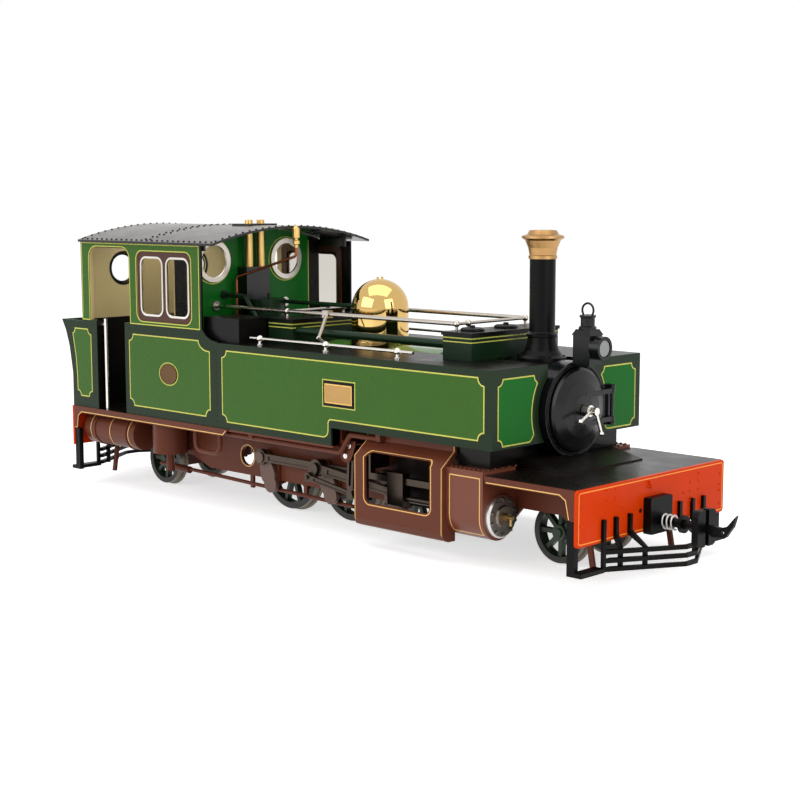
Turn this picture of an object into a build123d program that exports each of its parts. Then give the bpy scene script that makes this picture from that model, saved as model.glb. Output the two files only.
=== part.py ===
from build123d import *
import math
import os

os.makedirs("parts", exist_ok=True)

# ------------------------------------------------------------------ driving dimensions (mm)
# +X is the front of the engine, +Z is up, the centre plane is y = 0.
# Heights are over the rail head. save() lifts every node by the flange depth.
FLANGE_DEEP = 1.2

# gauge and wheels
WHEEL_FACE_IN = 14.0
WHEEL_WIDTH = 5.5
FLANGE_WIDE = 1.3
DRIVER_R = 20.0
DRIVER_SPACING = 45.0
DRIVING_X = 10.5
DRIVER_AXLE_R = 3.0
PONY_R = 13.7
PONY_AXLE_R = 2.0
FRONT_PONY_X = 143.3
REAR_PONY_X = -141.7
FRONT_PIVOT_X = 100.0
REAR_PIVOT_X = -95.0
RUNNING_FIT = 0.05
CURVE_GAP = 0.3

# frames and decks
BEAM_X = 180.5
BEAM_THICK = 1.5
BEAM_HALF = 54.4
FRONT_BEAM_LOW = 18.0
FRONT_DECK_TOP = 42.0
REAR_BEAM_LOW = 22.0
REAR_DECK_TOP = 44.4
DECK_THICK = 1.0
MID_DECK_TOP = 53.0
MID_DECK_THICK = 1.2
MID_DECK_HALF = 47.6
NOTCH_X = 34.0
SADDLE_X0 = 94.0
SADDLE_X1 = 126.0
SADDLE_HALF = 46.0
FRAME_IN = 30.0
FRAME_THICK = 1.6
FRAME_LOW = 17.0
VALANCE_THICK = 0.8

# body
BODY_HALF = 53.5
SHEET = 1.2
TANK_X0 = -51.0
TANK_X1 = 133.5
TANK_TOP = 88.0
TANK_TOP_INNER = 16.0
BOILER_Z = 66.5
BOILER_R = 22.0
BOILER_WALL = 1.5
BOILER_X0 = -98.0
SMOKEBOX_X0 = 100.0
SMOKEBOX_X1 = 137.0
SMOKEBOX_R = 21.8
DOOR_R = 19.0
CHIMNEY_X = 117.0
CHIMNEY_R = 5.95
CHIMNEY_BORE_R = 4.6
CHIMNEY_TOP = 133.6
CAP_TOP = 146.5
DOME_X = 12.5
DOME_R = 14.4
DOME_TOP = 120.8

# cab
CAB_X0 = -169.5
CAB_X1 = -63.5
CAB_FRONT_X = -87.8
CAB_TOP = 137.0
WAIST_Z = 94.0
DOOR_X0 = -156.0
DOOR_X1 = -130.0
WINDOW_X0 = -118.0
WINDOW_X1 = -72.0
WINDOW_Z0 = 96.0
WINDOW_Z1 = 132.8
SPECTACLE_Y = 25.7
SPECTACLE_Z = 127.5
SPECTACLE_R = 9.6
BACK_WINDOW_R = 8.2
WINDOW_PANEL = 1.1
WINDOW_LAP = 1.6
BUNKER_TOP = 93.0
ROOF_X0 = -169.0
ROOF_X1 = -51.4
ROOF_HALF = 55.5
ROOF_R = 192.0
ROOF_CROWN = 146.4
ROOF_THICK = 1.2

# outside motion, measured outwards from the centre plane
AXLEBOX_PROUD = 1.0
CRANK_IN = 33.0
CRANK_THICK = 2.2
CRANK_THROW = 9.5
CRANK_ANGLE_RIGHT = 110.0
CRANK_ANGLE_LEFT = 20.0
CRANKPIN_R = 1.9
COUPLING_IN = 35.4
COUPLING_THICK = 2.0
CONNECTING_IN = 38.5
CONNECTING_THICK = 1.8
CONNECTING_LENGTH = 60.57
RETURN_CRANK = 5.1
RETURN_ANGLE = 130.0
ECCENTRIC_LENGTH = 33.0
GUDGEON_R = 1.3
CYL_Y = 42.6
CYL_Z = 22.7
CYL_X0 = 107.0
CYL_X1 = 128.5
CYL_CASE_R = 11.0
CYL_BORE_R = 7.4
CYL_COVER_R = 9.7
CYL_CASE_TOP = 43.4
PISTON_AHEAD = 46.75
PISTON_THICK = 2.0
PISTON_ROD_R = 1.5
BAR_Z0 = 29.5
BAR_Z1 = 32.5
BAR_X0 = 50.0
GUARD_X0 = 51.0
GUARD_OUT = 56.0
GUARD_LOW = 9.0
GUARD_IN = 47.6
GUARD_SHOULDER = 42.5

# couplers
COUPLER_Z = 22.4
SHANK_R = 2.0
HOUSING_LONG = 4.0
HOUSING_HALF = 8.0
COUPLER_HEAD_X = 24.0

RIGHT = -1
LEFT = 1

# ------------------------------------------------------------------ derived places
AXLE_Z = DRIVER_R
DRIVER_X = [DRIVING_X - DRIVER_SPACING, DRIVING_X, DRIVING_X + DRIVER_SPACING]
FRAME_OUT = FRAME_IN + FRAME_THICK
COUPLING_OUT = COUPLING_IN + COUPLING_THICK
CONNECTING_OUT = CONNECTING_IN + CONNECTING_THICK
CROSSHEAD_IN = CONNECTING_OUT + 0.4
BEAM_INNER = BEAM_X - BEAM_THICK
CRANK_ANGLE = {RIGHT: CRANK_ANGLE_RIGHT, LEFT: CRANK_ANGLE_LEFT}


def polar(x, z, radius, degrees):
    a = math.radians(degrees)
    return (x + radius * math.cos(a), z + radius * math.sin(a))


def crankpin(side, axle_x):
    return polar(axle_x, AXLE_Z, CRANK_THROW, CRANK_ANGLE[side])


def gudgeon_x(side):
    pin_x, pin_z = crankpin(side, DRIVING_X)
    return pin_x + math.sqrt(CONNECTING_LENGTH**2 - (pin_z - CYL_Z) ** 2)


def circle_meet(p, r, q, s):
    """The lower point that lies r from p and s from q, in the XZ plane."""
    dx = q[0] - p[0]
    dz = q[1] - p[1]
    d = math.hypot(dx, dz)
    along = (r * r - s * s + d * d) / (2 * d)
    off = math.sqrt(max(r * r - along * along, 0.0))
    base = (p[0] + along * dx / d, p[1] + along * dz / d)
    ends = [
        (base[0] + off * dz / d, base[1] - off * dx / d),
        (base[0] - off * dz / d, base[1] + off * dx / d),
    ]
    return min(ends, key=lambda e: e[1])


# ------------------------------------------------------------------ helpers
def block(x0, x1, y0, y1, z0, z1):
    return Pos(x0, y0, z0) * Box(x1 - x0, y1 - y0, z1 - z0, align=(Align.MIN,) * 3)


def both(shape):
    """A piece of the right-hand side and its mirror image."""
    return [shape, mirror(shape, about=Plane.XZ)]


def side_block(x0, x1, a0, a1, z0, z1, side=RIGHT):
    """A block between two distances from the centre plane, on one side."""
    return block(x0, x1, min(side * a0, side * a1), max(side * a0, side * a1), z0, z1)


def bar_x(y, z, radius, x0, x1):
    return Pos((x0 + x1) / 2, y, z) * Rot(0, 90, 0) * Cylinder(radius, x1 - x0)


def bar_y(x, z, radius, y0, y1):
    return Pos(x, (y0 + y1) / 2, z) * Rot(90, 0, 0) * Cylinder(radius, abs(y1 - y0))


def bar_z(x, y, radius, z0, z1):
    return Pos(x, y, (z0 + z1) / 2) * Cylinder(radius, z1 - z0)


def plate_xz(sketch, y0, y1):
    """A sketch drawn in X and Z, made solid between two y planes."""
    return extrude(Plane.XZ.offset(-max(y0, y1)) * sketch, amount=abs(y1 - y0), dir=(0, -1, 0))


def plate_yz(sketch, x0, x1):
    """A sketch drawn in Y and Z, made solid between two x planes."""
    return extrude(Plane.YZ.offset(x0) * sketch, amount=x1 - x0, dir=(1, 0, 0))


def plate_xy(sketch, z0, z1):
    return extrude(Plane.XY.offset(z0) * sketch, amount=z1 - z0, dir=(0, 0, 1))


def outline(*points):
    return Polygon(*points, align=None)


def rounded(x0, x1, z0, z1, radius):
    shape = RectangleRounded(x1 - x0, z1 - z0, radius)
    return Pos((x0 + x1) / 2, (z0 + z1) / 2) * shape


def disc(x, z, radius):
    return Pos(x, z) * Circle(radius)


def lathe(x, y, points):
    """Points are radius and height; the turned solid stands on (x, y)."""
    face = make_face(Polyline([(r, 0, z) for r, z in points], close=True))
    return Pos(x, y, 0) * revolve(face, Axis.Z)


def lathe_x(y, z, points):
    """Points are x and radius; the turned solid lies along X through (y, z)."""
    face = make_face(Polyline([(x, 0, r) for x, r in points], close=True))
    return Pos(0, y, z) * revolve(face, Axis.X)


def tube_path(points, bend, radius):
    path = FilletPolyline(*points, radius=bend)
    start = Plane(origin=path @ 0, z_dir=path % 0)
    return sweep(start * Circle(radius), path=path)


def straight(p, q, radius):
    p = Vector(*p)
    q = Vector(*q)
    return extrude(Plane(origin=p, z_dir=q - p) * Circle(radius), amount=(q - p).length)


def flatten(items):
    found = []
    for item in items:
        if isinstance(item, (list, tuple)):
            found += flatten(item)
        else:
            found += list(item.solids())
    return found


def save(name, *items):
    solids = [Pos(0, 0, FLANGE_DEEP) * s for s in flatten(items)]
    node = Compound(children=solids)
    node.label = name
    export_step(node, f"parts/{name}.step")


# ------------------------------------------------------------------ frames and decks
HORN_HALF = 4.8
HORN_TOP = AXLE_Z + 7.0
MID_FRAME_TOP = MID_DECK_TOP - MID_DECK_THICK
REAR_FRAME_TOP = REAR_DECK_TOP - DECK_THICK
FRONT_FRAME_TOP = FRONT_DECK_TOP - BEAM_THICK
LIGHTENING_X = -54.3
LIGHTENING_Z = 27.1
LIGHTENING_R = 5.0
PIVOT_Z = 27.0
PIVOT_PIN_R = 2.0
STRETCHER = 2.0


def frame_plate():
    arch_x0 = FRONT_PONY_X - 18.0
    arch_x1 = FRONT_PONY_X + 18.0
    sketch = outline(
        (-BEAM_INNER, REAR_FRAME_TOP),
        (-BEAM_INNER, 23.0),
        (REAR_PONY_X + 22.0, 23.0),
        (REAR_PONY_X + 42.0, 22.0),
        (REAR_PONY_X + 56.0, FRAME_LOW),
        (arch_x0, FRAME_LOW),
        (arch_x0 + 7.0, 25.0),
        (arch_x1 - 7.0, 25.0),
        (arch_x1, 20.0),
        (BEAM_INNER, 20.0),
        (BEAM_INNER, FRONT_FRAME_TOP),
        (SADDLE_X0, FRONT_FRAME_TOP),
        (SADDLE_X0, MID_FRAME_TOP),
        (NOTCH_X, MID_FRAME_TOP),
        (NOTCH_X, REAR_FRAME_TOP),
    )
    for x in DRIVER_X:
        sketch -= Pos(x, 0) * Rectangle(2 * HORN_HALF, 2 * HORN_TOP)
    sketch -= disc(LIGHTENING_X, LIGHTENING_Z, LIGHTENING_R)
    return plate_xz(sketch, -FRAME_OUT, -FRAME_IN)


def cross_wall(x, z0, z1):
    return block(x, x + STRETCHER, -FRAME_IN, FRAME_IN, z0, z1)


def pivot_stretcher(x):
    slab = block(x - 6, x + 6, -FRAME_IN, FRAME_IN, PIVOT_Z, PIVOT_Z + STRETCHER)
    return slab + bar_z(x, 0, PIVOT_PIN_R, PONY_R + 4.5, PIVOT_Z)


def guard_iron(x, lean, z_high, z_low):
    """A bent strip inside the frame plate that clears the rail just ahead of the wheel."""
    sketch = outline(
        (x, z_high),
        (x + 2.4, z_high),
        (x + 2.4 + lean, z_low),
        (x + lean, z_low),
    )
    return plate_xz(sketch, -FRAME_IN, -FRAME_IN + 1.6)


def make_main_frame():
    cross = [
        pivot_stretcher(FRONT_PIVOT_X),
        pivot_stretcher(REAR_PIVOT_X),
        cross_wall(CYL_X0, 31.0, FRONT_FRAME_TOP),
        cross_wall(CYL_X1 - STRETCHER, 31.0, FRONT_FRAME_TOP),
        cross_wall(BEAM_INNER - 9.0, 26.0, FRONT_FRAME_TOP),
        cross_wall(REAR_PONY_X + 22.0, 31.0, REAR_FRAME_TOP),
        cross_wall(-BEAM_INNER + 8.0, 28.0, REAR_FRAME_TOP),
    ]
    for x in (DRIVER_X[0] + DRIVER_SPACING / 2, DRIVER_X[1] + DRIVER_SPACING / 2):
        top = AXLE_Z + DRIVER_R + 2.0
        cross.append(block(x - 4, x + 4, -FRAME_IN, FRAME_IN, top - STRETCHER + 0.6, top + 0.6))
    irons = both(guard_iron(BEAM_INNER - 14.0, 4.0, 24.0, 3.0))
    irons += both(guard_iron(-BEAM_INNER + 6.0, -5.0, 27.0, 4.0))
    save("main_frame", both(frame_plate()), cross, irons)


def make_axle_boxes():
    boxes = []
    for x in DRIVER_X:
        body = side_block(
            x - HORN_HALF, x + HORN_HALF, FRAME_IN, FRAME_OUT, FRAME_LOW - 2.4, HORN_TOP
        )
        body += side_block(x - 6.2, x + 6.2, FRAME_OUT, FRAME_OUT + AXLEBOX_PROUD, 15.5, HORN_TOP + 1)
        body += side_block(x - 6.2, x + 6.2, FRAME_IN - 2.0, FRAME_IN, 15.5, HORN_TOP + 1)
        body -= bar_y(x, AXLE_Z, DRIVER_AXLE_R + RUNNING_FIT, -FRAME_OUT - 3, -FRAME_IN + 4)
        boxes += both(body)
    save("axle_boxes", boxes)


def make_footplates():
    rear = block(-BEAM_INNER, NOTCH_X, -BODY_HALF, BODY_HALF, REAR_FRAME_TOP, REAR_DECK_TOP)
    mid = block(
        NOTCH_X, SADDLE_X0, -MID_DECK_HALF, MID_DECK_HALF, MID_FRAME_TOP, MID_DECK_TOP
    )
    mid -= bar_x(0, BOILER_Z, BOILER_R + CURVE_GAP, NOTCH_X - 5, SADDLE_X0 + 5)
    riser = block(NOTCH_X - 1.2, NOTCH_X, -MID_DECK_HALF, MID_DECK_HALF, REAR_DECK_TOP, MID_DECK_TOP)
    riser -= bar_x(0, BOILER_Z, BOILER_R + CURVE_GAP, NOTCH_X - 5, NOTCH_X + 5)
    front = block(
        CYL_X1 + 0.5, BEAM_INNER, -BEAM_HALF + VALANCE_THICK, BEAM_HALF - VALANCE_THICK,
        FRONT_FRAME_TOP, FRONT_DECK_TOP,
    )
    front += block(SADDLE_X0, CYL_X1 + 1, -FRAME_OUT, FRAME_OUT, FRONT_FRAME_TOP, FRONT_DECK_TOP)
    saddle = block(
        SADDLE_X0, SADDLE_X1, -SADDLE_HALF, SADDLE_HALF, CYL_CASE_TOP, MID_DECK_TOP
    )
    saddle += block(SADDLE_X0, SADDLE_X1, -FRAME_OUT, FRAME_OUT, FRONT_DECK_TOP, CYL_CASE_TOP + 1)
    saddle -= bar_x(0, BOILER_Z, BOILER_R + CURVE_GAP, SADDLE_X0 - 5, SADDLE_X1 + 5)
    apron_sketch = outline(
        (SADDLE_X1, FRONT_DECK_TOP),
        (SMOKEBOX_X1 + 17.0, FRONT_DECK_TOP),
        (SMOKEBOX_X1 + 17.0, FRONT_DECK_TOP + 0.6),
        (SMOKEBOX_X1 - 1.0, FRONT_DECK_TOP + 4.6),
        (SADDLE_X1, FRONT_DECK_TOP + 4.6),
    )
    apron = plate_xz(apron_sketch, -28.0, 28.0)
    apron -= bar_x(0, BOILER_Z, BOILER_R + CURVE_GAP, SADDLE_X1 - 5, SMOKEBOX_X1 + 1)
    save("footplates", rear, mid, riser, front, saddle, apron)


def make_valances():
    front_sketch = outline(
        (CYL_X1 + 1.5, FRONT_DECK_TOP),
        (CYL_X1 + 1.5, FRONT_DECK_TOP - 3.2),
        (BEAM_INNER - 8.0, FRONT_DECK_TOP - 3.2),
        (BEAM_INNER - 4.0, FRONT_DECK_TOP - 5.5),
        (BEAM_INNER - 2.2, FRONT_DECK_TOP - 13.0),
        (BEAM_INNER, FRONT_DECK_TOP - 13.0),
        (BEAM_INNER, FRONT_DECK_TOP),
    )
    rear_sketch = outline(
        (-BEAM_INNER, REAR_DECK_TOP),
        (-BEAM_INNER, REAR_DECK_TOP - 12.7),
        (-BEAM_INNER + 2.2, REAR_DECK_TOP - 12.7),
        (-BEAM_INNER + 3.6, REAR_DECK_TOP - 6.0),
        (-BEAM_INNER + 7.0, REAR_DECK_TOP - 3.7),
        (NOTCH_X - 80.5, REAR_DECK_TOP - 3.7),
        (NOTCH_X - 77.0, REAR_DECK_TOP),
    )
    front = plate_xz(front_sketch, -BEAM_HALF, -BEAM_HALF + VALANCE_THICK)
    rear = plate_xz(rear_sketch, -BODY_HALF - VALANCE_THICK, -BODY_HALF)
    save("valances", both(front), both(rear))


def make_buffer_beams():
    front = block(BEAM_INNER, BEAM_X, -BEAM_HALF, BEAM_HALF, FRONT_BEAM_LOW, FRONT_DECK_TOP)
    rear = block(-BEAM_X, -BEAM_INNER, -BEAM_HALF, BEAM_HALF, REAR_BEAM_LOW, REAR_DECK_TOP)
    hole = bar_x(0, COUPLER_Z, SHANK_R + 0.3, -BEAM_X - 5, BEAM_X + 5)
    front -= hole
    rear -= hole + block(-BEAM_X - 1, -BEAM_INNER + 1, -2.3, 2.3, 20, COUPLER_Z)
    front = fillet(front.edges().filter_by(Axis.X).filter_by(lambda e: abs(e.center().Y) > 50), 1.5)
    save("buffer_beams", front, rear)


# ------------------------------------------------------------------ cowcatchers
CATCHER_REACH = 20.3
CATCHER_HALF = 38.0
SLAT_Z = [5.5, 9.2, 12.9]
SLAT_HIGH = 1.9
SLAT_THICK = 1.4


def catcher_slat(z):
    outer = outline(
        (BEAM_X + 1.0, -CATCHER_HALF),
        (BEAM_X + CATCHER_REACH, -4.0),
        (BEAM_X + CATCHER_REACH, 4.0),
        (BEAM_X + 1.0, CATCHER_HALF),
    )
    inner = outline(
        (BEAM_X + 1.0 - 2 * SLAT_THICK, -CATCHER_HALF),
        (BEAM_X + CATCHER_REACH - SLAT_THICK, -3.6),
        (BEAM_X + CATCHER_REACH - SLAT_THICK, 3.6),
        (BEAM_X + 1.0 - 2 * SLAT_THICK, CATCHER_HALF),
    )
    return plate_xy(outer - inner, z, z + SLAT_HIGH)


def catcher_rib(y):
    """A strap from the beam face down and out to the slats."""
    share = 1 - (abs(y) - 4.0) / (CATCHER_HALF - 4.0)
    reach = BEAM_X + 1.0 + (CATCHER_REACH - 1.0) * min(share, 1.0) - 2.4
    top = SLAT_Z[2] + SLAT_HIGH
    sketch = outline(
        (BEAM_X, 27.8),
        (BEAM_X + 1.6, 27.8),
        (BEAM_X + 1.6, top + 6.0),
        (max(reach, BEAM_X + 1.6), top),
        (max(reach, BEAM_X + 1.6), SLAT_Z[0]),
        (max(reach, BEAM_X + 1.6) - 1.6, SLAT_Z[0]),
        (max(reach, BEAM_X + 1.6) - 1.6, top - 0.4),
        (BEAM_X, top + 4.2),
    )
    return plate_xz(sketch, y - 0.9, y + 0.9)


def side_post():
    post = block(BEAM_INNER - 4.0, BEAM_INNER, -BEAM_HALF + 0.4, -BEAM_HALF + 3.0, SLAT_Z[0], 29.0)
    foot = block(
        BEAM_INNER - 1.6, BEAM_X + 2.2, -BEAM_HALF + 0.4, -CATCHER_HALF, SLAT_Z[0], SLAT_Z[0] + SLAT_HIGH
    )
    return post + foot


def make_cowcatchers():
    front = None
    for z in SLAT_Z:
        front = catcher_slat(z) if front is None else front + catcher_slat(z)
    for y in (-CATCHER_HALF + 0.9, -28.5, -18.6, 18.6, 28.5, CATCHER_HALF - 0.9):
        front += catcher_rib(y)
    for foot in both(side_post()):
        front += foot
    rear = mirror(front, about=Plane.YZ)
    rear = Pos(0, 0, REAR_BEAM_LOW - FRONT_BEAM_LOW - 1.5) * rear
    save("cowcatchers", front, rear)


# ------------------------------------------------------------------ cylinders and motion
COVER_THICK = 2.0
GLAND_LONG = 3.0
BOLT_COUNT = 10
SLIDE_CLEAR = 0.3


def cylinder_casing():
    section = disc(-CYL_Y, CYL_Z, CYL_CASE_R)
    section += outline(
        (-CYL_Y - CYL_CASE_R, CYL_Z),
        (-FRAME_OUT, CYL_Z),
        (-FRAME_OUT, CYL_CASE_TOP),
        (-CYL_Y - CYL_CASE_R, CYL_CASE_TOP),
    )
    section -= disc(-CYL_Y, CYL_Z, CYL_BORE_R)
    return plate_yz(section, CYL_X0, CYL_X1)


def cylinder_covers():
    rear = bar_x(-CYL_Y, CYL_Z, CYL_COVER_R, CYL_X0 - COVER_THICK, CYL_X0)
    rear += bar_x(-CYL_Y, CYL_Z, 3.0, CYL_X0 - COVER_THICK - GLAND_LONG, CYL_X0)
    rear -= bar_x(-CYL_Y, CYL_Z, PISTON_ROD_R + RUNNING_FIT, CYL_X0 - 9, CYL_X0 + 1)
    front = lathe_x(
        -CYL_Y, CYL_Z,
        [
            (CYL_X1, 0),
            (CYL_X1, CYL_COVER_R),
            (CYL_X1 + 1.6, CYL_COVER_R),
            (CYL_X1 + 2.4, CYL_COVER_R - 0.8),
            (CYL_X1 + 2.4, 5.2),
            (CYL_X1 + 3.4, 4.6),
            (CYL_X1 + 3.4, 0),
        ],
    )
    for i in range(BOLT_COUNT):
        y, z = polar(-CYL_Y, CYL_Z, CYL_COVER_R - 1.9, 360 / BOLT_COUNT * (i + 0.5))
        front += Pos(CYL_X1 + 2.8, y, z) * Rot(0, 90, 0) * extrude(RegularPolygon(0.85, 6), 0.5, both=True)
    valve = bar_x(-CYL_Y, CYL_Z, 1.6, CYL_X1 + 3.4, CYL_X1 + 5.6)
    valve += bar_x(-CYL_Y, CYL_Z, 0.9, CYL_X1 + 5.6, CYL_X1 + 8.0)
    valve += bar_z(CYL_X1 + 6.6, -CYL_Y, 0.7, CYL_Z - 3.6, CYL_Z)
    return [rear, front, valve]


def slide_bar():
    bar = side_block(BAR_X0, CYL_X0 - COVER_THICK, CROSSHEAD_IN + 0.2, CROSSHEAD_IN + 3.6, BAR_Z0, BAR_Z1)
    bracket = side_block(BAR_X0 - 3.0, BAR_X0, FRAME_OUT, CROSSHEAD_IN + 3.6, 34.0, 44.0)
    bracket += side_block(BAR_X0 - 3.0, BAR_X0, CROSSHEAD_IN + 0.2, CROSSHEAD_IN + 3.6, BAR_Z0, 34.0)
    return [bar, bracket]


LINK_PIVOT_X = BAR_X0 - 11.5
LINK_PIVOT_Z = 38.7
LINK_FOOT = 18.8


def return_pin(side):
    pin_x, pin_z = crankpin(side, DRIVING_X)
    return polar(pin_x, pin_z, RETURN_CRANK, CRANK_ANGLE[side] + RETURN_ANGLE)


def link_foot(side):
    return circle_meet(return_pin(side), ECCENTRIC_LENGTH, (LINK_PIVOT_X, LINK_PIVOT_Z), LINK_FOOT)


def expansion_link(side):
    """The slotted link that the eccentric rod rocks, hung from the motion bracket."""
    foot_x, foot_z = link_foot(side)
    tilt = math.degrees(math.atan2(foot_x - LINK_PIVOT_X, LINK_PIVOT_Z - foot_z))
    sketch = Pos(0, -6) * RectangleRounded(4.4, 21.0, 2.0)
    sketch += Pos(0, -LINK_FOOT / 2 - 3) * Rectangle(2.6, LINK_FOOT - 5)
    sketch += Circle(2.9) + Pos(0, -LINK_FOOT) * Circle(2.1)
    sketch -= Pos(0, -8) * RectangleRounded(1.5, 12.0, 0.7)
    near = CROSSHEAD_IN + 3.9
    link = plate_xz(Pos(LINK_PIVOT_X, LINK_PIVOT_Z) * Rot(0, 0, tilt) * sketch, side * near, side * (near + 1.6))
    trunnion = bar_y(LINK_PIVOT_X, LINK_PIVOT_Z, 1.4, side * FRAME_OUT, side * (near + 2.4))
    arm = side_block(LINK_PIVOT_X - 3, BAR_X0 - 3.0, FRAME_OUT, CROSSHEAD_IN + 3.6, 36.2, 43.4, side)
    return [(link + trunnion) + arm]


def motion_guard():
    section = outline(
        (-GUARD_IN, GUARD_LOW),
        (-GUARD_OUT + 4, GUARD_LOW),
        (-GUARD_OUT + 1.2, GUARD_LOW + 1.2),
        (-GUARD_OUT, GUARD_LOW + 4),
        (-GUARD_OUT, GUARD_SHOULDER),
        (-GUARD_IN, MID_FRAME_TOP - 2.6),
        (-GUARD_IN, MID_FRAME_TOP),
        (-GUARD_IN + SHEET, MID_FRAME_TOP),
        (-GUARD_IN + SHEET, MID_FRAME_TOP - 4.0),
        (-GUARD_IN, MID_FRAME_TOP - 4.0),
    )
    hollow = outline(
        (-GUARD_IN + 5, GUARD_LOW + SHEET),
        (-GUARD_OUT + 4.4, GUARD_LOW + SHEET),
        (-GUARD_OUT + SHEET, GUARD_LOW + 4.4),
        (-GUARD_OUT + SHEET, GUARD_SHOULDER - 0.6),
        (-GUARD_IN, MID_FRAME_TOP - 4.0),
        (-GUARD_IN + 5, MID_FRAME_TOP - 4.0),
    )
    box = plate_yz(section, GUARD_X0, CYL_X0)
    box -= plate_yz(hollow, GUARD_X0 + SHEET, CYL_X0 - SHEET)
    opening = rounded(GUARD_X0 + 7, CYL_X0 - 8, 21.0, 44.5, 3.0)
    box -= plate_xz(opening, -GUARD_OUT - 5, -GUARD_OUT + 6)
    return box - bar_x(-CYL_Y, CYL_Z, CYL_COVER_R + CURVE_GAP, CYL_X0 - 5, CYL_X0 + 1)


def make_cylinders():
    save("cylinder_casings", both(cylinder_casing()))
    save("cylinder_covers", [both(piece) for piece in cylinder_covers()])
    bars = [both(piece) for piece in slide_bar()]
    save("slide_bars", bars, expansion_link(RIGHT), expansion_link(LEFT))
    save("motion_guards", both(motion_guard()))


# ------------------------------------------------------------------ wheels, cranks and rods
def spoked_wheel(radius, hub, rim, spokes, bore):
    """A wheel on the Y axis, inner face at y = 0 and outer face at y = WHEEL_WIDTH."""
    body = lathe(
        0, 0,
        [
            (rim, 0),
            (radius + FLANGE_DEEP - 0.4, 0),
            (radius + FLANGE_DEEP, 0.4),
            (radius + FLANGE_DEEP - 0.2, FLANGE_WIDE - 0.3),
            (radius, FLANGE_WIDE),
            (radius, WHEEL_WIDTH),
            (rim, WHEEL_WIDTH),
        ],
    )
    body += bar_z(0, 0, hub, 0, WHEEL_WIDTH)
    spoke = block(hub - 1, rim + 0.5, -1.0, 1.0, 1.2, WHEEL_WIDTH - 1.2)
    for i in range(spokes):
        body += Rot(0, 0, 360 / spokes * i) * spoke
    body -= bar_z(0, 0, bore, -1, WHEEL_WIDTH + 1)
    return Rot(-90, 0, 0) * body


def wheel_pair(x, z, wheel):
    left = Pos(x, WHEEL_FACE_IN, z) * wheel
    return [left, mirror(left, about=Plane.XZ)]


def crank(side, axle_x):
    """Outside crank with its pin and the pin's retaining collar."""
    pin_x, pin_z = crankpin(side, axle_x)
    web = make_hull(
        (disc(axle_x, AXLE_Z, 5.4) + disc(pin_x, pin_z, 3.7)).edges()
    )
    tail_x, tail_z = polar(axle_x, AXLE_Z, -5.0, CRANK_ANGLE[side])
    web += disc(tail_x, tail_z, 4.6)
    solid = plate_xz(web, side * CRANK_IN, side * (CRANK_IN + CRANK_THICK))
    solid -= bar_y(axle_x, AXLE_Z, DRIVER_AXLE_R, side * (CRANK_IN - 1), side * (CRANK_IN + 5))
    solid += bar_y(pin_x, pin_z, CRANKPIN_R, side * (CRANK_IN + 1), side * (COUPLING_OUT + 0.6))
    solid += bar_y(pin_x, pin_z, CRANKPIN_R + 0.9, side * (COUPLING_OUT + 0.1), side * (COUPLING_OUT + 0.7))
    return solid


def make_wheelsets():
    wheel = spoked_wheel(DRIVER_R, 5.2, 16.8, 10, DRIVER_AXLE_R)
    end = CRANK_IN + CRANK_THICK
    for name, x in zip(("trailing_wheelset", "driving_wheelset", "leading_wheelset"), DRIVER_X):
        axle = bar_y(x, AXLE_Z, DRIVER_AXLE_R, -end, end)
        save(name, axle, wheel_pair(x, AXLE_Z, wheel), crank(RIGHT, x), crank(LEFT, x))


def rod_eye(x, z, radius, bore):
    return disc(x, z, radius) - disc(x, z, bore)


def fluted_bar(p, q, high_p, high_q, y0, y1):
    """A tapered bar between two pins with a shallow flute in its outer face."""
    run = math.hypot(q[0] - p[0], q[1] - p[1])
    turn = math.degrees(math.atan2(q[1] - p[1], q[0] - p[0]))
    bar = outline((0, -high_p / 2), (run, -high_q / 2), (run, high_q / 2), (0, high_p / 2))
    flute = outline(
        (run * 0.14, -high_p / 4), (run * 0.86, -high_q / 4),
        (run * 0.86, high_q / 4), (run * 0.14, high_p / 4),
    )
    place = Pos(p[0], p[1]) * Rot(0, 0, turn)
    solid = plate_xz(place * bar, y0, y1)
    outer = y1 if abs(y1) > abs(y0) else y0
    inward = 0.5 if outer < 0 else -0.5
    return solid - plate_xz(place * flute, outer + inward, outer - inward)


def coupling_rod(side):
    pins = [crankpin(side, x) for x in DRIVER_X]
    y0 = side * COUPLING_IN
    y1 = side * COUPLING_OUT
    rod = fluted_bar(pins[0], pins[1], 4.2, 4.2, y0, y1) + fluted_bar(pins[1], pins[2], 4.2, 4.2, y0, y1)
    for x, z in pins:
        rod += plate_xz(disc(x, z, 4.1), y0, y1)
    for x, z in pins:
        rod -= bar_y(x, z, CRANKPIN_R + RUNNING_FIT, y0 - side, y1 + side)
    return rod


def connecting_rod(side):
    """The rod, the bush and cap that stand for its crank end, and the return crank."""
    big = crankpin(side, DRIVING_X)
    small = (gudgeon_x(side), CYL_Z)
    y0 = side * CONNECTING_IN
    y1 = side * CONNECTING_OUT
    rod = fluted_bar(big, small, 4.6, 3.6, y0, y1)
    rod += plate_xz(disc(big[0], big[1], 4.4), y0, y1)
    rod += plate_xz(disc(small[0], small[1], 3.3), y0, y1)
    rod -= bar_y(small[0], small[1], GUDGEON_R + RUNNING_FIT, y0 - side, y1 + side)
    pin = return_pin(side)
    arm = make_hull((disc(big[0], big[1], 2.8) + disc(pin[0], pin[1], 2.1)).edges())
    crank_arm = plate_xz(arm, y1, y1 + side * 1.6)
    crank_arm += bar_y(pin[0], pin[1], 1.0, y1 + side * 1.5, y1 + side * 4.2)
    return [rod, crank_arm]


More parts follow.
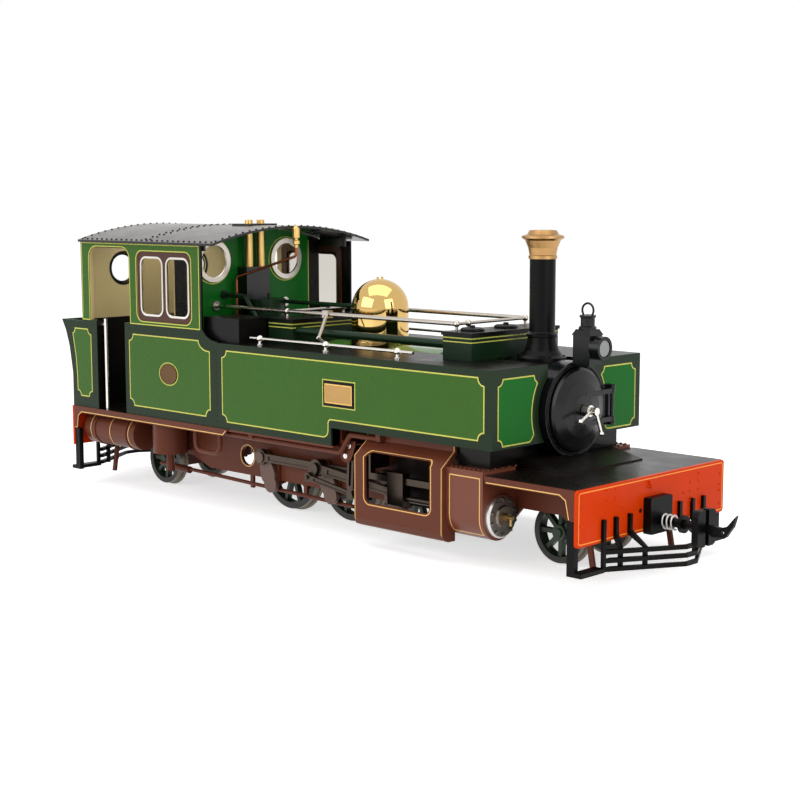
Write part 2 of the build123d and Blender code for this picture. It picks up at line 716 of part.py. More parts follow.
def eccentric_rod(side):
    near = return_pin(side)
    far = link_foot(side)
    y0 = side * (CONNECTING_OUT + 1.9)
    y1 = y0 + side * 1.4
    rod = fluted_bar(near, far, 2.8, 2.2, y0, y1)
    rod += plate_xz(disc(near[0], near[1], 2.3), y0, y1)
    rod += plate_xz(disc(far[0], far[1], 2.0), y0, y1)
    rod -= bar_y(near[0], near[1], 1.0 + RUNNING_FIT, y0 - side, y1 + side)
    return rod


def crosshead(side):
    """Crosshead block on its slide bar, gudgeon pin, piston rod and piston."""
    x = gudgeon_x(side)
    y0 = CROSSHEAD_IN
    y1 = CROSSHEAD_IN + 5.1
    block_part = side_block(x - 5, x + 5, y0, y1, CYL_Z - 3.4, BAR_Z0 - SLIDE_CLEAR, side)
    block_part += side_block(x - 5, x + 5, y0 + 3.9, y1, CYL_Z, BAR_Z1 + 2.2, side)
    block_part += side_block(x - 5, x + 5, y0 + 0.4, y1, BAR_Z1 + SLIDE_CLEAR, BAR_Z1 + 2.2, side)
    pin = bar_y(x, CYL_Z, GUDGEON_R, side * (CONNECTING_IN - 0.1), side * (y0 + 1))
    rod = bar_x(side * CYL_Y, CYL_Z, PISTON_ROD_R, x + 4, x + PISTON_AHEAD)
    piston = bar_x(
        side * CYL_Y, CYL_Z, CYL_BORE_R - 0.06,
        x + PISTON_AHEAD - PISTON_THICK / 2, x + PISTON_AHEAD + PISTON_THICK / 2,
    )
    return block_part + pin + rod + piston


def make_rods():
    for side, word in ((RIGHT, "right"), (LEFT, "left")):
        save(f"coupling_rod_{word}", coupling_rod(side))
        save(f"connecting_rod_{word}", connecting_rod(side))
        save(f"eccentric_rod_{word}", eccentric_rod(side))
        save(f"crosshead_{word}", crosshead(side))


# ------------------------------------------------------------------ pony trucks
TRUCK_TOP = PIVOT_Z - 1.5
TRUCK_HALF = 11.5


def pony_truck(wheel_x, pivot_x):
    towards = 1 if wheel_x > pivot_x else -1
    arm = make_hull(
        (disc(pivot_x, 0, 5.0) + Pos(wheel_x, 0) * Rectangle(12, 2 * TRUCK_HALF - 4)).edges()
    )
    plate = plate_xy(arm, TRUCK_TOP - 1.6, TRUCK_TOP)
    carrier = block(wheel_x - 5, wheel_x + 5, -TRUCK_HALF, TRUCK_HALF, PONY_R - 4.5, TRUCK_TOP - 1.6)
    carrier -= bar_y(wheel_x, PONY_R, PONY_AXLE_R + RUNNING_FIT, -TRUCK_HALF - 1, TRUCK_HALF + 1)
    truck = plate + carrier
    truck += bar_z(pivot_x, 0, 4.4, TRUCK_TOP - 6, TRUCK_TOP)
    truck -= bar_z(pivot_x, 0, PIVOT_PIN_R + RUNNING_FIT, TRUCK_TOP - 8, TRUCK_TOP + 1)
    end_x = wheel_x + towards * 5.0
    tie = block(end_x - 1, end_x + 1, -TRUCK_HALF, TRUCK_HALF, TRUCK_TOP - 4.0, TRUCK_TOP - 1.6)
    return truck + tie


def pony_wheels(wheel_x):
    wheel = spoked_wheel(PONY_R, 3.6, 10.9, 8, PONY_AXLE_R)
    axle = bar_y(wheel_x, PONY_R, PONY_AXLE_R, -WHEEL_FACE_IN - WHEEL_WIDTH - 1, WHEEL_FACE_IN + WHEEL_WIDTH + 1)
    return [axle, wheel_pair(wheel_x, PONY_R, wheel)]


def make_ponies():
    save("front_pony_truck", pony_truck(FRONT_PONY_X, FRONT_PIVOT_X))
    save("rear_pony_truck", pony_truck(REAR_PONY_X, REAR_PIVOT_X))
    save("front_pony_wheels", pony_wheels(FRONT_PONY_X))
    save("rear_pony_wheels", pony_wheels(REAR_PONY_X))


# ------------------------------------------------------------------ boiler, smokebox and chimney
FLUE_R = 9.0
SMOKEBOX_RING = 3.4
HINGE_X = SMOKEBOX_X1 + 1.8
HINGE_Y = 24.6
HINGE_LEVELS = (BOILER_Z - 6.5, BOILER_Z + 6.5)
LAMP_X = 143.0
LAMP_Z = 87.5


def make_boiler():
    barrel = bar_x(0, BOILER_Z, BOILER_R, BOILER_X0, SMOKEBOX_X0)
    barrel -= bar_x(0, BOILER_Z, BOILER_R - BOILER_WALL, BOILER_X0 + 2, SMOKEBOX_X0 - 2)
    flue = bar_x(0, BOILER_Z - 5, FLUE_R, BOILER_X0 - 1, SMOKEBOX_X0 + 1)
    barrel -= flue
    pipe = bar_x(0, BOILER_Z - 5, FLUE_R, BOILER_X0, SMOKEBOX_X0)
    pipe -= bar_x(0, BOILER_Z - 5, FLUE_R - 1, BOILER_X0 - 1, SMOKEBOX_X0 + 1)
    save("boiler_shell", barrel, pipe)


def make_smokebox():
    shell = bar_x(0, BOILER_Z, SMOKEBOX_R, SMOKEBOX_X0, SMOKEBOX_X1)
    shell -= bar_x(0, BOILER_Z, SMOKEBOX_R - BOILER_WALL, SMOKEBOX_X0 + 2, SMOKEBOX_X1 - 1.6)
    shell -= bar_x(0, BOILER_Z, SMOKEBOX_R - SMOKEBOX_RING, SMOKEBOX_X1 - 4, SMOKEBOX_X1 + 1)
    shell -= bar_x(0, BOILER_Z - 5, FLUE_R - 1, SMOKEBOX_X0 - 1, SMOKEBOX_X0 + 3)
    shell -= bar_z(CHIMNEY_X, 0, CHIMNEY_BORE_R, BOILER_Z + 5, BOILER_Z + 30)
    low, high = HINGE_LEVELS
    post = block(SMOKEBOX_X1 - 1.6, SMOKEBOX_X1 + 0.2, 19.5, HINGE_Y + 1.2, low - 3, high + 3)
    post -= bar_x(0, BOILER_Z, DOOR_R + 0.6, SMOKEBOX_X1 - 0.01, SMOKEBOX_X1 + 2)
    for z in (low - 2.8, high + 1.4):
        post += block(SMOKEBOX_X1 - 1.0, HINGE_X, HINGE_Y - 1.2, HINGE_Y + 1.2, z, z + 1.4)
        post += bar_z(HINGE_X, HINGE_Y, 1.5, z, z + 1.4)
    pin = bar_z(HINGE_X, HINGE_Y, 0.9, low - 2.9, high + 2.9)
    save("smokebox", (shell + post) + pin)


def make_door():
    face = lathe_x(
        0, BOILER_Z,
        [
            (SMOKEBOX_X1, 0),
            (SMOKEBOX_X1, DOOR_R),
            (SMOKEBOX_X1 + 1.2, DOOR_R),
            (SMOKEBOX_X1 + 2.0, DOOR_R - 1.2),
            (SMOKEBOX_X1 + 3.5, DOOR_R * 0.66),
            (SMOKEBOX_X1 + 4.4, DOOR_R * 0.34),
            (SMOKEBOX_X1 + 4.7, 0),
        ],
    )
    low, high = HINGE_LEVELS
    for z in (low, high):
        strap = block(SMOKEBOX_X1 + 1.0, SMOKEBOX_X1 + 2.6, 4.0, HINGE_Y, z - 1.1, z + 1.1)
        strap += block(SMOKEBOX_X1 + 2.0, SMOKEBOX_X1 + 4.4, 2.0, 14.5, z - 1.1, z + 1.1)
        face += strap + bar_z(HINGE_X, HINGE_Y, 1.35, z - 1.1, z + 1.1)
    face -= bar_z(HINGE_X, HINGE_Y, 0.9 + RUNNING_FIT, low - 3, high + 3)
    face -= bar_x(0, BOILER_Z, 1.2 + RUNNING_FIT, SMOKEBOX_X1 - 1, SMOKEBOX_X1 + 6)
    save("smokebox_door", face)
    spindle = bar_x(0, BOILER_Z, 1.2, SMOKEBOX_X1 - 3, SMOKEBOX_X1 + 12)
    bar = block(SMOKEBOX_X1 - 3.6, SMOKEBOX_X1 - 2.4, -4, 4, BOILER_Z - 1.2, BOILER_Z + 1.2)
    boss = bar_x(0, BOILER_Z, 2.6, SMOKEBOX_X1 + 5.0, SMOKEBOX_X1 + 8.4)
    handles = spindle + bar + boss
    for x, turn in ((SMOKEBOX_X1 + 9.0, 200.0), (SMOKEBOX_X1 + 11.2, 285.0)):
        y, z = polar(0, BOILER_Z, 10.5, turn)
        handles += bar_x(0, BOILER_Z, 1.8, x - 0.8, x + 0.8)
        handles += straight((x, 0, BOILER_Z), (x + 1.2, y, z), 0.75)
        handles += Pos(x + 1.2, y, z) * Sphere(1.15)
    save("door_handles", handles)


def make_chimney():
    base_low = BOILER_Z + math.sqrt(SMOKEBOX_R**2 - 10.8**2) - 0.6
    tube = lathe(
        CHIMNEY_X, 0,
        [
            (CHIMNEY_BORE_R, base_low),
            (11.2, base_low),
            (11.2, BOILER_Z + SMOKEBOX_R + 0.6),
            (9.4, BOILER_Z + SMOKEBOX_R + 1.8),
            (7.9, BOILER_Z + SMOKEBOX_R + 3.8),
            (7.0, BOILER_Z + SMOKEBOX_R + 6.8),
            (6.6, 98.0),
            (7.2, 98.4),
            (7.2, 99.6),
            (6.5, 100.0),
            (CHIMNEY_R, 100.6),
            (CHIMNEY_R, CHIMNEY_TOP),
            (CHIMNEY_BORE_R, CHIMNEY_TOP),
        ],
    )
    tube -= bar_x(0, BOILER_Z, SMOKEBOX_R, SMOKEBOX_X0, SMOKEBOX_X1)
    save("chimney", tube)
    mid = CAP_TOP - 3.2
    cap = lathe(
        CHIMNEY_X, 0,
        [
            (CHIMNEY_BORE_R, CHIMNEY_TOP),
            (CHIMNEY_R + 0.6, CHIMNEY_TOP),
            (CHIMNEY_R + 0.6, CHIMNEY_TOP + 1.4),
            (CHIMNEY_R + 0.2, CHIMNEY_TOP + 1.8),
            (CHIMNEY_R + 0.8, CHIMNEY_TOP + 5.0),
            (CHIMNEY_R + 2.2, mid - 1.4),
            (CHIMNEY_R + 3.7, mid - 0.4),
            (CHIMNEY_R + 3.7, mid + 0.6),
            (CHIMNEY_R + 1.2, mid + 1.4),
            (CHIMNEY_R + 0.5, CAP_TOP - 0.4),
            (CHIMNEY_R + 0.1, CAP_TOP),
            (CHIMNEY_BORE_R, CAP_TOP),
        ],
    )
    save("chimney_cap", cap)


def make_dome():
    spring_z = DOME_TOP - DOME_R
    outer = bar_z(DOME_X, 0, DOME_R, BOILER_Z + 8, spring_z)
    outer += Pos(DOME_X, 0, spring_z) * Sphere(DOME_R)
    outer += bar_z(DOME_X, 0, DOME_R + 0.8, BOILER_Z + 8, BOILER_Z + BOILER_R + 1.4)
    inner = bar_z(DOME_X, 0, DOME_R - SHEET, BOILER_Z, spring_z)
    inner += Pos(DOME_X, 0, spring_z) * Sphere(DOME_R - SHEET)
    shell = outer - inner
    shell -= bar_x(0, BOILER_Z, BOILER_R + 0.02, DOME_X - 40, DOME_X + 40)
    for y in (-1.6, 1.6):
        shell += bar_z(DOME_X, y, 0.6, DOME_TOP - 0.6, DOME_TOP + 1.0)
    save("dome", shell)


# ------------------------------------------------------------------ side tanks
TANK_REAR_X = CAB_FRONT_X + 0.2


def tank(side):
    """An open-bottomed sheet shell that stands on the decks beside the boiler."""
    section = outline(
        (side * TANK_TOP_INNER, MID_DECK_TOP),
        (side * BODY_HALF, MID_DECK_TOP),
        (side * BODY_HALF, TANK_TOP),
        (side * TANK_TOP_INNER, TANK_TOP),
    )
    low_section = outline(
        (side * TANK_TOP_INNER, REAR_DECK_TOP),
        (side * BODY_HALF, REAR_DECK_TOP),
        (side * BODY_HALF, MID_DECK_TOP + 1),
        (side * TANK_TOP_INNER, MID_DECK_TOP + 1),
    )
    body = plate_yz(section, TANK_REAR_X, TANK_X1)
    body += plate_yz(low_section, TANK_REAR_X, NOTCH_X - SHEET)
    near = BODY_HALF - SHEET
    body -= side_block(TANK_REAR_X - 1, TANK_X0, near, BODY_HALF + 1, 40, TANK_TOP + 1, side)
    body -= bar_x(0, BOILER_Z, BOILER_R + CURVE_GAP, TANK_REAR_X - 1, TANK_X1 + 1)
    wall = BOILER_R + CURVE_GAP + SHEET
    cavity = side_block(TANK_X0 + SHEET, TANK_X1 - SHEET, 13.0, near, 40, TANK_TOP - SHEET, side)
    cavity += side_block(TANK_REAR_X + SHEET, TANK_X0 + 3, 13.0, near - SHEET, 40, TANK_TOP - SHEET, side)
    cavity -= bar_x(0, BOILER_Z, wall, TANK_REAR_X - 1, TANK_X1 + 1)
    cavity -= side_block(TANK_REAR_X - 1, TANK_X1 + 1, 0, TANK_TOP_INNER + 4.5, 40, TANK_TOP + 1, side)
    return body - cavity


def make_tanks():
    save("tank_right", tank(RIGHT))
    save("tank_left", tank(LEFT))


# ------------------------------------------------------------------ boxes on the tank tops
SANDBOX_HALF = 31.0
FRONT_SAND = (84.0, 101.6, 100.6)
REAR_SAND = (-37.0, -19.0, 100.4)
LID_OVER = 0.6


def sandbox(x0, x1, top):
    box = block(x0, x1, -SANDBOX_HALF, SANDBOX_HALF, TANK_TOP, top - 1.6)
    box += block(x0 - LID_OVER, x1 + LID_OVER, -SANDBOX_HALF - LID_OVER, SANDBOX_HALF + LID_OVER, top - 1.6, top)
    return box - bar_x(0, BOILER_Z, BOILER_R + CURVE_GAP, x0 - 2, x1 + 2)


def sand_lid(x, y, top):
    return lathe(
        x, y,
        [(0, top), (5.6, top), (5.6, top + 0.9), (4.8, top + 1.5), (1.4, top + 1.7), (1.2, top + 2.6), (0, top + 2.6)],
    )


def make_tank_top_boxes():
    x0, x1, top = FRONT_SAND
    rear_x0, rear_x1, rear_top = REAR_SAND
    lids = [sand_lid((x0 + x1) / 2, y, top) for y in (-20.6, 3.0)]
    black = block(-66.0, -38.0, -50.0, -29.0, TANK_TOP, 100.5)
    save("tank_top_boxes", sandbox(x0, x1, top), sandbox(rear_x0, rear_x1, rear_top), lids, black)


# ------------------------------------------------------------------ cab and bunker
def cab_side(side):
    sketch = outline(
        (DOOR_X1, REAR_DECK_TOP),
        (TANK_X0, REAR_DECK_TOP),
        (TANK_X0, TANK_TOP + 0.2),
        (TANK_X0 - 5.5, TANK_TOP + 1.2),
        (TANK_X0 - 9.5, TANK_TOP + 3.2),
        (CAB_X1, TANK_TOP + 6.2),
        (CAB_X1, CAB_TOP),
        (CAB_X0, CAB_TOP),
        (CAB_X0, BUNKER_TOP),
        (DOOR_X1, BUNKER_TOP),
    )
    arch = rounded(CAB_X0 + 8.0, DOOR_X1 + 5.0, BUNKER_TOP - 8, 134.3, 6.0)
    sketch -= arch & outline((-400, WAIST_Z), (400, WAIST_Z), (400, 200), (-400, 200))
    sketch -= outline((DOOR_X0, 40), (DOOR_X1, 40), (DOOR_X1, WAIST_Z + 1), (DOOR_X0, WAIST_Z + 1))
    sketch -= rounded(WINDOW_X0, WINDOW_X1, WINDOW_Z0, WINDOW_Z1, 3.5)
    sheet = plate_xz(sketch, side * (BODY_HALF - SHEET), side * BODY_HALF)
    pillar = side_block(CAB_X0 + 4.0, CAB_X0 + 6.0, BODY_HALF - 4.0, BODY_HALF - SHEET, WAIST_Z, CAB_TOP - 3, side)
    return sheet + pillar


def roof_under(y):
    radius = ROOF_R - ROOF_THICK
    return ROOF_CROWN - ROOF_R + math.sqrt(radius * radius - y * y)


def cab_sheet(x0, x1, low, holes):
    half = BODY_HALF - SHEET
    top = Pos(0, ROOF_CROWN - ROOF_R) * Circle(ROOF_R - ROOF_THICK - CURVE_GAP)
    wall = Pos(0, (low + 160) / 2) * Rectangle(2 * half, 160 - low)
    return plate_yz((wall & top) - holes, x0, x1)


def make_cab():
    save("cab_side_right", cab_side(RIGHT))
    save("cab_side_left", cab_side(LEFT))
    front_holes = disc(-SPECTACLE_Y, SPECTACLE_Z, SPECTACLE_R) + disc(SPECTACLE_Y, SPECTACLE_Z, SPECTACLE_R)
    front_holes += disc(0, BOILER_Z, BOILER_R + CURVE_GAP)
    front = cab_sheet(CAB_FRONT_X - SHEET, CAB_FRONT_X, REAR_DECK_TOP, front_holes)
    for side in (RIGHT, LEFT):
        front -= side_block(
            CAB_FRONT_X - 9, CAB_FRONT_X + 9, BODY_HALF - SHEET - WINDOW_PANEL, BODY_HALF,
            WINDOW_Z0 - WINDOW_LAP, WINDOW_Z1 + WINDOW_LAP, side,
        )
    save("cab_front", front)
    back_holes = disc(-SPECTACLE_Y, SPECTACLE_Z - 6, BACK_WINDOW_R) + disc(SPECTACLE_Y, SPECTACLE_Z - 6, BACK_WINDOW_R)
    save("cab_back", cab_sheet(CAB_X0, CAB_X0 + SHEET, REAR_DECK_TOP, back_holes))


BUNKER_X0 = -BEAM_X + 0.2
BUNKER_FLARE = 9.5


def make_bunker():
    half = BODY_HALF
    side_sketch = outline(
        (BUNKER_X0, REAR_DECK_TOP),
        (DOOR_X0, REAR_DECK_TOP),
        (DOOR_X0, BUNKER_TOP),
        (BUNKER_X0 - BUNKER_FLARE, BUNKER_TOP),
        (BUNKER_X0 - BUNKER_FLARE * 0.62, BUNKER_TOP - 6),
        (BUNKER_X0 - BUNKER_FLARE * 0.28, BUNKER_TOP - 15),
        (BUNKER_X0, BUNKER_TOP - 30),
    )
    hollow_sketch = outline(
        (BUNKER_X0 + SHEET, REAR_DECK_TOP - 1),
        (CAB_X0, REAR_DECK_TOP - 1),
        (CAB_X0, BUNKER_TOP + 1),
        (BUNKER_X0 - BUNKER_FLARE + SHEET, BUNKER_TOP + 1),
        (BUNKER_X0 - BUNKER_FLARE * 0.62 + SHEET, BUNKER_TOP - 6),
        (BUNKER_X0 - BUNKER_FLARE * 0.28 + SHEET, BUNKER_TOP - 15),
        (BUNKER_X0 + SHEET, BUNKER_TOP - 30),
    )
    body = plate_xz(side_sketch, -half, half)
    body -= plate_xz(hollow_sketch, -half + SHEET, half - SHEET)
    body -= block(CAB_X0 - 0.01, DOOR_X0 + 1, -half + SHEET, half - SHEET, 40, 100)
    for side in (RIGHT, LEFT):
        body += side_block(DOOR_X0 - 1.2, DOOR_X0, half - 5.0, half - SHEET, REAR_DECK_TOP, BUNKER_TOP, side)
        body -= side_block(CAB_X0, DOOR_X0 + 1, half - SHEET - 0.01, half + 1, BUNKER_TOP, BUNKER_TOP + 2, side)
    coal_deck = block(BUNKER_X0 + SHEET, CAB_X0, -half + SHEET, half - SHEET, BUNKER_TOP - 32, BUNKER_TOP - 31)
    save("bunker", body + coal_deck)


def ring_yz(y, z, outer, inner, x0, x1):
    return plate_yz(disc(y, z, outer) - disc(y, z, inner), x0, x1)


def frame_xz(x0, x1, z0, z1, radius, wide, y0, y1):
    outer = rounded(x0, x1, z0, z1, radius)
    inner = rounded(x0 + wide, x1 - wide, z0 + wide, z1 - wide, max(radius - wide, 0.5))
    return plate_xz(outer - inner, y0, y1)


PANES = ((-115.6, -95.6), (-93.4, -73.6))
PANE_Z = (98.0, 130.6)


def make_windows():
    frames = []
    glass = []
    for y in (-SPECTACLE_Y, SPECTACLE_Y):
        ring = ring_yz(y, SPECTACLE_Z, SPECTACLE_R + 1.6, SPECTACLE_R - 1.0, CAB_FRONT_X, CAB_FRONT_X + 1.2)
        frames.append(ring)
        glass.append(plate_yz(disc(y, SPECTACLE_Z, SPECTACLE_R), CAB_FRONT_X - 0.8, CAB_FRONT_X))
        back = ring_yz(y, SPECTACLE_Z - 6, BACK_WINDOW_R + 1.4, BACK_WINDOW_R - 0.8, CAB_X0 - 1.2, CAB_X0)
        frames.append(back)
        glass.append(plate_yz(disc(y, SPECTACLE_Z - 6, BACK_WINDOW_R), CAB_X0, CAB_X0 + 0.8))
    inner = BODY_HALF - SHEET
    panel = rounded(WINDOW_X0 - 2, WINDOW_X1 + 2, WINDOW_Z0 - WINDOW_LAP, WINDOW_Z1 + WINDOW_LAP, 3.5)
    for x0, x1 in PANES:
        panel -= rounded(x0, x1, PANE_Z[0], PANE_Z[1], 1.6)
        glass += both(plate_xz(rounded(x0, x1, PANE_Z[0], PANE_Z[1], 1.6), -inner + 0.2, -inner + 0.8))
        frames += both(frame_xz(x0 - 0.8, x1 + 0.8, PANE_Z[0] - 0.8, PANE_Z[1] + 0.8, 2.0, 0.8, -inner - 0.5, -inner))
    frames += both(plate_xz(panel, -inner, -inner + WINDOW_PANEL))
    save("window_frames", frames)
    lens = bar_x(0, LAMP_Z + 7.5, 3.6, LAMP_X + 7.0, LAMP_X + 9.4)
    save("glass_panes", glass, lens)


SAFETY_X = -84.0
SAFETY_Y = (-3.6, 4.7)
SAFETY_R = 2.1


def make_roof():
    centre = ROOF_CROWN - ROOF_R
    band = Pos(0, centre) * Circle(ROOF_R) - Pos(0, centre) * Circle(ROOF_R - ROOF_THICK)
    band &= Pos(0, ROOF_CROWN - 20) * Rectangle(2 * ROOF_HALF, 60)
    sheet = plate_yz(band, ROOF_X0, ROOF_X1)
    sheet += block(SAFETY_X - 7, SAFETY_X + 7, -9.5, 10.5, ROOF_CROWN - 0.6, ROOF_CROWN + 0.8)
    for y in SAFETY_Y:
        sheet -= bar_z(SAFETY_X, y, SAFETY_R + 0.4, ROOF_CROWN - 12, ROOF_CROWN + 9)
    for side in (RIGHT, LEFT):
        for x0, x1 in ((CAB_X0 + 9.0, CAB_X0 + 44.0), (CAB_FRONT_X + 3.0, CAB_X1 - 1.0)):
            rib = side_block(x0, x1, BODY_HALF - 4.4, BODY_HALF - 3.0, CAB_TOP - 3.0, CAB_TOP + 1.8, side)
            sheet += rib
    save("cab_roof", sheet)


def make_handrails():
    rails = []
    grab_y = BODY_HALF - 3.0
    grab = bar_z(DOOR_X0 + 4.2, -grab_y, 0.9, REAR_DECK_TOP, WAIST_Z + 0.8)
    grab += block(DOOR_X0, DOOR_X0 + 4.2, -grab_y - 0.7, -grab_y + 0.7, WAIST_Z - 3.0, WAIST_Z - 1.6)
    rails += both(grab)
    shaft = bar_x(-46.5, 91.4, 0.75, -33.0, 80.0)
    for x in (-26.0, 22.0, 70.0):
        shaft += bar_z(x, -46.5, 0.8, TANK_TOP, 91.4)
        shaft += Pos(x, -46.5, 91.4) * Sphere(1.7)
        shaft += bar_z(x, -46.5, 1.5, TANK_TOP, TANK_TOP + 0.8)
    rails += both(shaft)
    save("handrails", rails)


ROD_Y = 24.5
ROD_Z = 103.7
ROD_LINK_X = 0.0
FRONT_SHAFT_X = FRONT_SAND[0] + 2.6
REAR_SHAFT_X = REAR_SAND[0] + 7.0


def ball_post(x, y, foot_z):
    """A short pillar with a ball that carries a rod."""
    return bar_z(x, y, 0.7, foot_z, ROD_Z) + Pos(x, y, ROD_Z) * Sphere(1.6)


def make_sand_rods():
    long_rod = bar_x(-ROD_Y, ROD_Z, 1.1, CAB_FRONT_X, FRONT_SHAFT_X + 0.6)
    long_rod += bar_x(-ROD_Y, ROD_Z, 2.6, CAB_FRONT_X, CAB_FRONT_X + 1.4)
    rods = long_rod + mirror(long_rod, about=Plane.XZ)
    knee = (ROD_LINK_X + 9.5, -39.5, 93.2)
    rods += block(ROD_LINK_X - 2, ROD_LINK_X + 2, -ROD_Y - 1.8, -ROD_Y + 1.8, ROD_Z - 1.8, ROD_Z + 1.8)
    rods += straight((ROD_LINK_X, -ROD_Y - 1.0, ROD_Z - 1.0), knee, 1.0)
    rods += straight(knee, (20.0, -45.0, 91.6), 0.9)
    rods += Pos(*knee) * Sphere(1.2)
    rods += bar_y(FRONT_SHAFT_X, ROD_Z, 0.8, -ROD_Y, ROD_Y)
    rods += bar_y(REAR_SHAFT_X, ROD_Z, 0.8, -ROD_Y, ROD_Y)
    for y in (-ROD_Y, -16.6, ROD_Y):
        rods += ball_post(FRONT_SHAFT_X, y, FRONT_SAND[2])
    for y in (-ROD_Y, 15.0, ROD_Y):
        rods += ball_post(REAR_SHAFT_X, y, REAR_SAND[2])
    save("sand_rods", rods)


# ------------------------------------------------------------------ boiler top fittings
DRUM_X = -74.0
DRUM_R = 10.0
DRUM_TOP = 107.0
HOUSING_TOP = 124.0


def make_fittings():
    deck_z = BOILER_Z + BOILER_R
    housing = block(CAB_FRONT_X, SAFETY_X + 4.0, -8.8, 7.4, DRUM_TOP, HOUSING_TOP)
    housing += block(CAB_FRONT_X, SAFETY_X, -8.8, 7.4, deck_z + CURVE_GAP, DRUM_TOP)
    housing -= bar_z(DRUM_X, 0, DRUM_R, deck_z - 5, DRUM_TOP)
    tubes = []
    for y in SAFETY_Y:
        tube = bar_z(SAFETY_X, y, SAFETY_R, HOUSING_TOP, ROOF_CROWN + 2.8)
        tubes.append(tube - bar_z(SAFETY_X, y, SAFETY_R - 0.6, HOUSING_TOP + 4, ROOF_CROWN + 4))
    save("safety_valves", housing, tubes)

    drum = bar_z(DRUM_X, 0, DRUM_R, deck_z - 4, DRUM_TOP)
    drum -= bar_x(0, BOILER_Z, BOILER_R, DRUM_X - 30, DRUM_X + 30)
    drum += bar_z(DRUM_X + 2, 0, 1.0, DRUM_TOP, DRUM_TOP + 3.0)
    left = tube_path(
        [(CAB_FRONT_X, -18.6, 109.3), (-70.0, -18.6, 109.3), (-60.0, -18.6, 97.0), (-60.0, -18.6, TANK_TOP)],
        2.8, 1.3,
    )
    left += bar_x(-18.6, 109.3, 2.4, CAB_FRONT_X, CAB_FRONT_X + 1.4)
    main = bar_x(-27.5, 94.6, 1.9, REAR_SAND[1], FRONT_SAND[0])
    feed = bar_x(5.0, ROD_Z + 2.0, 1.1, DRUM_X + 8, DOME_X - DOME_R + 0.9)
    feed -= bar_z(DRUM_X, 0, DRUM_R, 80, 120) + bar_z(DOME_X, 0, DOME_R, 80, 110)
    save("steam_pipes", drum, left, main, feed)

    whistle_x = ROOF_X1 + 2.3
    body = lathe(
        whistle_x, -0.8,
        [
            (0, 135.2), (1.0, 135.2), (1.0, 136.4), (1.8, 136.8), (1.8, 138.6), (1.0, 139.0), (1.0, 139.8),
            (1.9, 140.2), (1.9, 145.0), (1.2, 145.6), (0.9, 146.6), (0, 146.8),
        ],
    )
    pipe = tube_path(
        [(whistle_x, -0.8, 135.2), (whistle_x, -0.9, 130.5), (SAFETY_X, -12.6, 118.6), (SAFETY_X, -12.6, 87.8)],
        2.2, 0.7,
    )
    save("whistle", body, pipe)


# ------------------------------------------------------------------ lamp
def make_lamp():
    half_x = 4.7
    half_y = 4.5
    body = block(LAMP_X - half_x, LAMP_X + half_x, -half_y, half_y, LAMP_Z, LAMP_Z + 13.0)
    roof = Pos(LAMP_X, 0, LAMP_Z + 13.0) * extrude(Rectangle(2 * half_x + 1, 2 * half_y + 1), 2.6, taper=28)
    body += roof
    body += lathe(
        LAMP_X, 0,
        [
            (0, LAMP_Z + 15.0), (4.0, LAMP_Z + 15.6), (4.0, LAMP_Z + 16.6), (3.2, LAMP_Z + 17.2),
            (3.2, LAMP_Z + 20.6), (3.7, LAMP_Z + 21.0), (3.7, LAMP_Z + 21.9), (0, LAMP_Z + 22.4),
        ],
    )
    bail = Pos(LAMP_X, 0, LAMP_Z + 24.0) * Rot(90, 0, 0) * Torus(3.1, 0.5)
    bezel = bar_x(0, LAMP_Z + 7.5, 5.3, LAMP_X + half_x, LAMP_X + 9.8)
    bezel -= bar_x(0, LAMP_Z + 7.5, 3.9, LAMP_X + 6.6, LAMP_X + 11)
    bracket = block(SMOKEBOX_X1 - 3.0, LAMP_X + 3.0, -2.6, 2.6, LAMP_Z - 1.2, LAMP_Z)
    bracket -= bar_x(0, BOILER_Z, SMOKEBOX_R, SMOKEBOX_X0, SMOKEBOX_X1)
    lens_seat = ring_yz(0, LAMP_Z + 7.5, 3.9, 3.6, LAMP_X + 7.0, LAMP_X + 9.4)
    save("head_lamp", ((body + bail) + bezel) + bracket + lens_seat)


# ------------------------------------------------------------------ couplers
HEAD_HALF = 7.0
HOOK_REACH = 41.8


def coupler_housing():
    box = block(BEAM_X, BEAM_X + HOUSING_LONG, -HOUSING_HALF, HOUSING_HALF, 17.0, 33.0)
    box -= bar_x(0, COUPLER_Z, SHANK_R + RUNNING_FIT, BEAM_X - 1, BEAM_X + HOUSING_LONG + 1)
    return fillet(box.edges().filter_by(Axis.X), 1.0)


def coupler():
    x0 = BEAM_X + COUPLER_HEAD_X
    shank = bar_x(0, COUPLER_Z, SHANK_R, BEAM_INNER - 6.0, x0 + 0.5)
    shank += bar_x(0, COUPLER_Z, SHANK_R + 1.6, BEAM_INNER - 2.0, BEAM_INNER)
    shank += bar_x(0, COUPLER_Z, SHANK_R + 1.9, BEAM_X + 14.6, BEAM_X + 16.2)
    face = rounded(-HEAD_HALF, HEAD_HALF, COUPLER_Z - 7.9, COUPLER_Z + 7.9, 3.0)
    head = plate_yz(face, x0, x0 + 3.2)
    head -= block(x0 + 0.8, x0 + 4, -1.3, 1.3, COUPLER_Z - 9, COUPLER_Z + 9)
    pin = bar_y(x0 + 2.2, COUPLER_Z, 0.8, -HEAD_HALF + 1, HEAD_HALF - 1)
    return (shank + head) + pin


def coupler_spring():
    coil = Helix(pitch=2.3, height=6.9, radius=SHANK_R + 1.0)
    start = Plane(origin=coil @ 0, z_dir=coil % 0)
    wire = sweep(start * Circle(0.5), path=coil)
    return Pos(BEAM_X + HOUSING_LONG + 0.6, 0, COUPLER_Z) * Rot(0, 90, 0) * wire


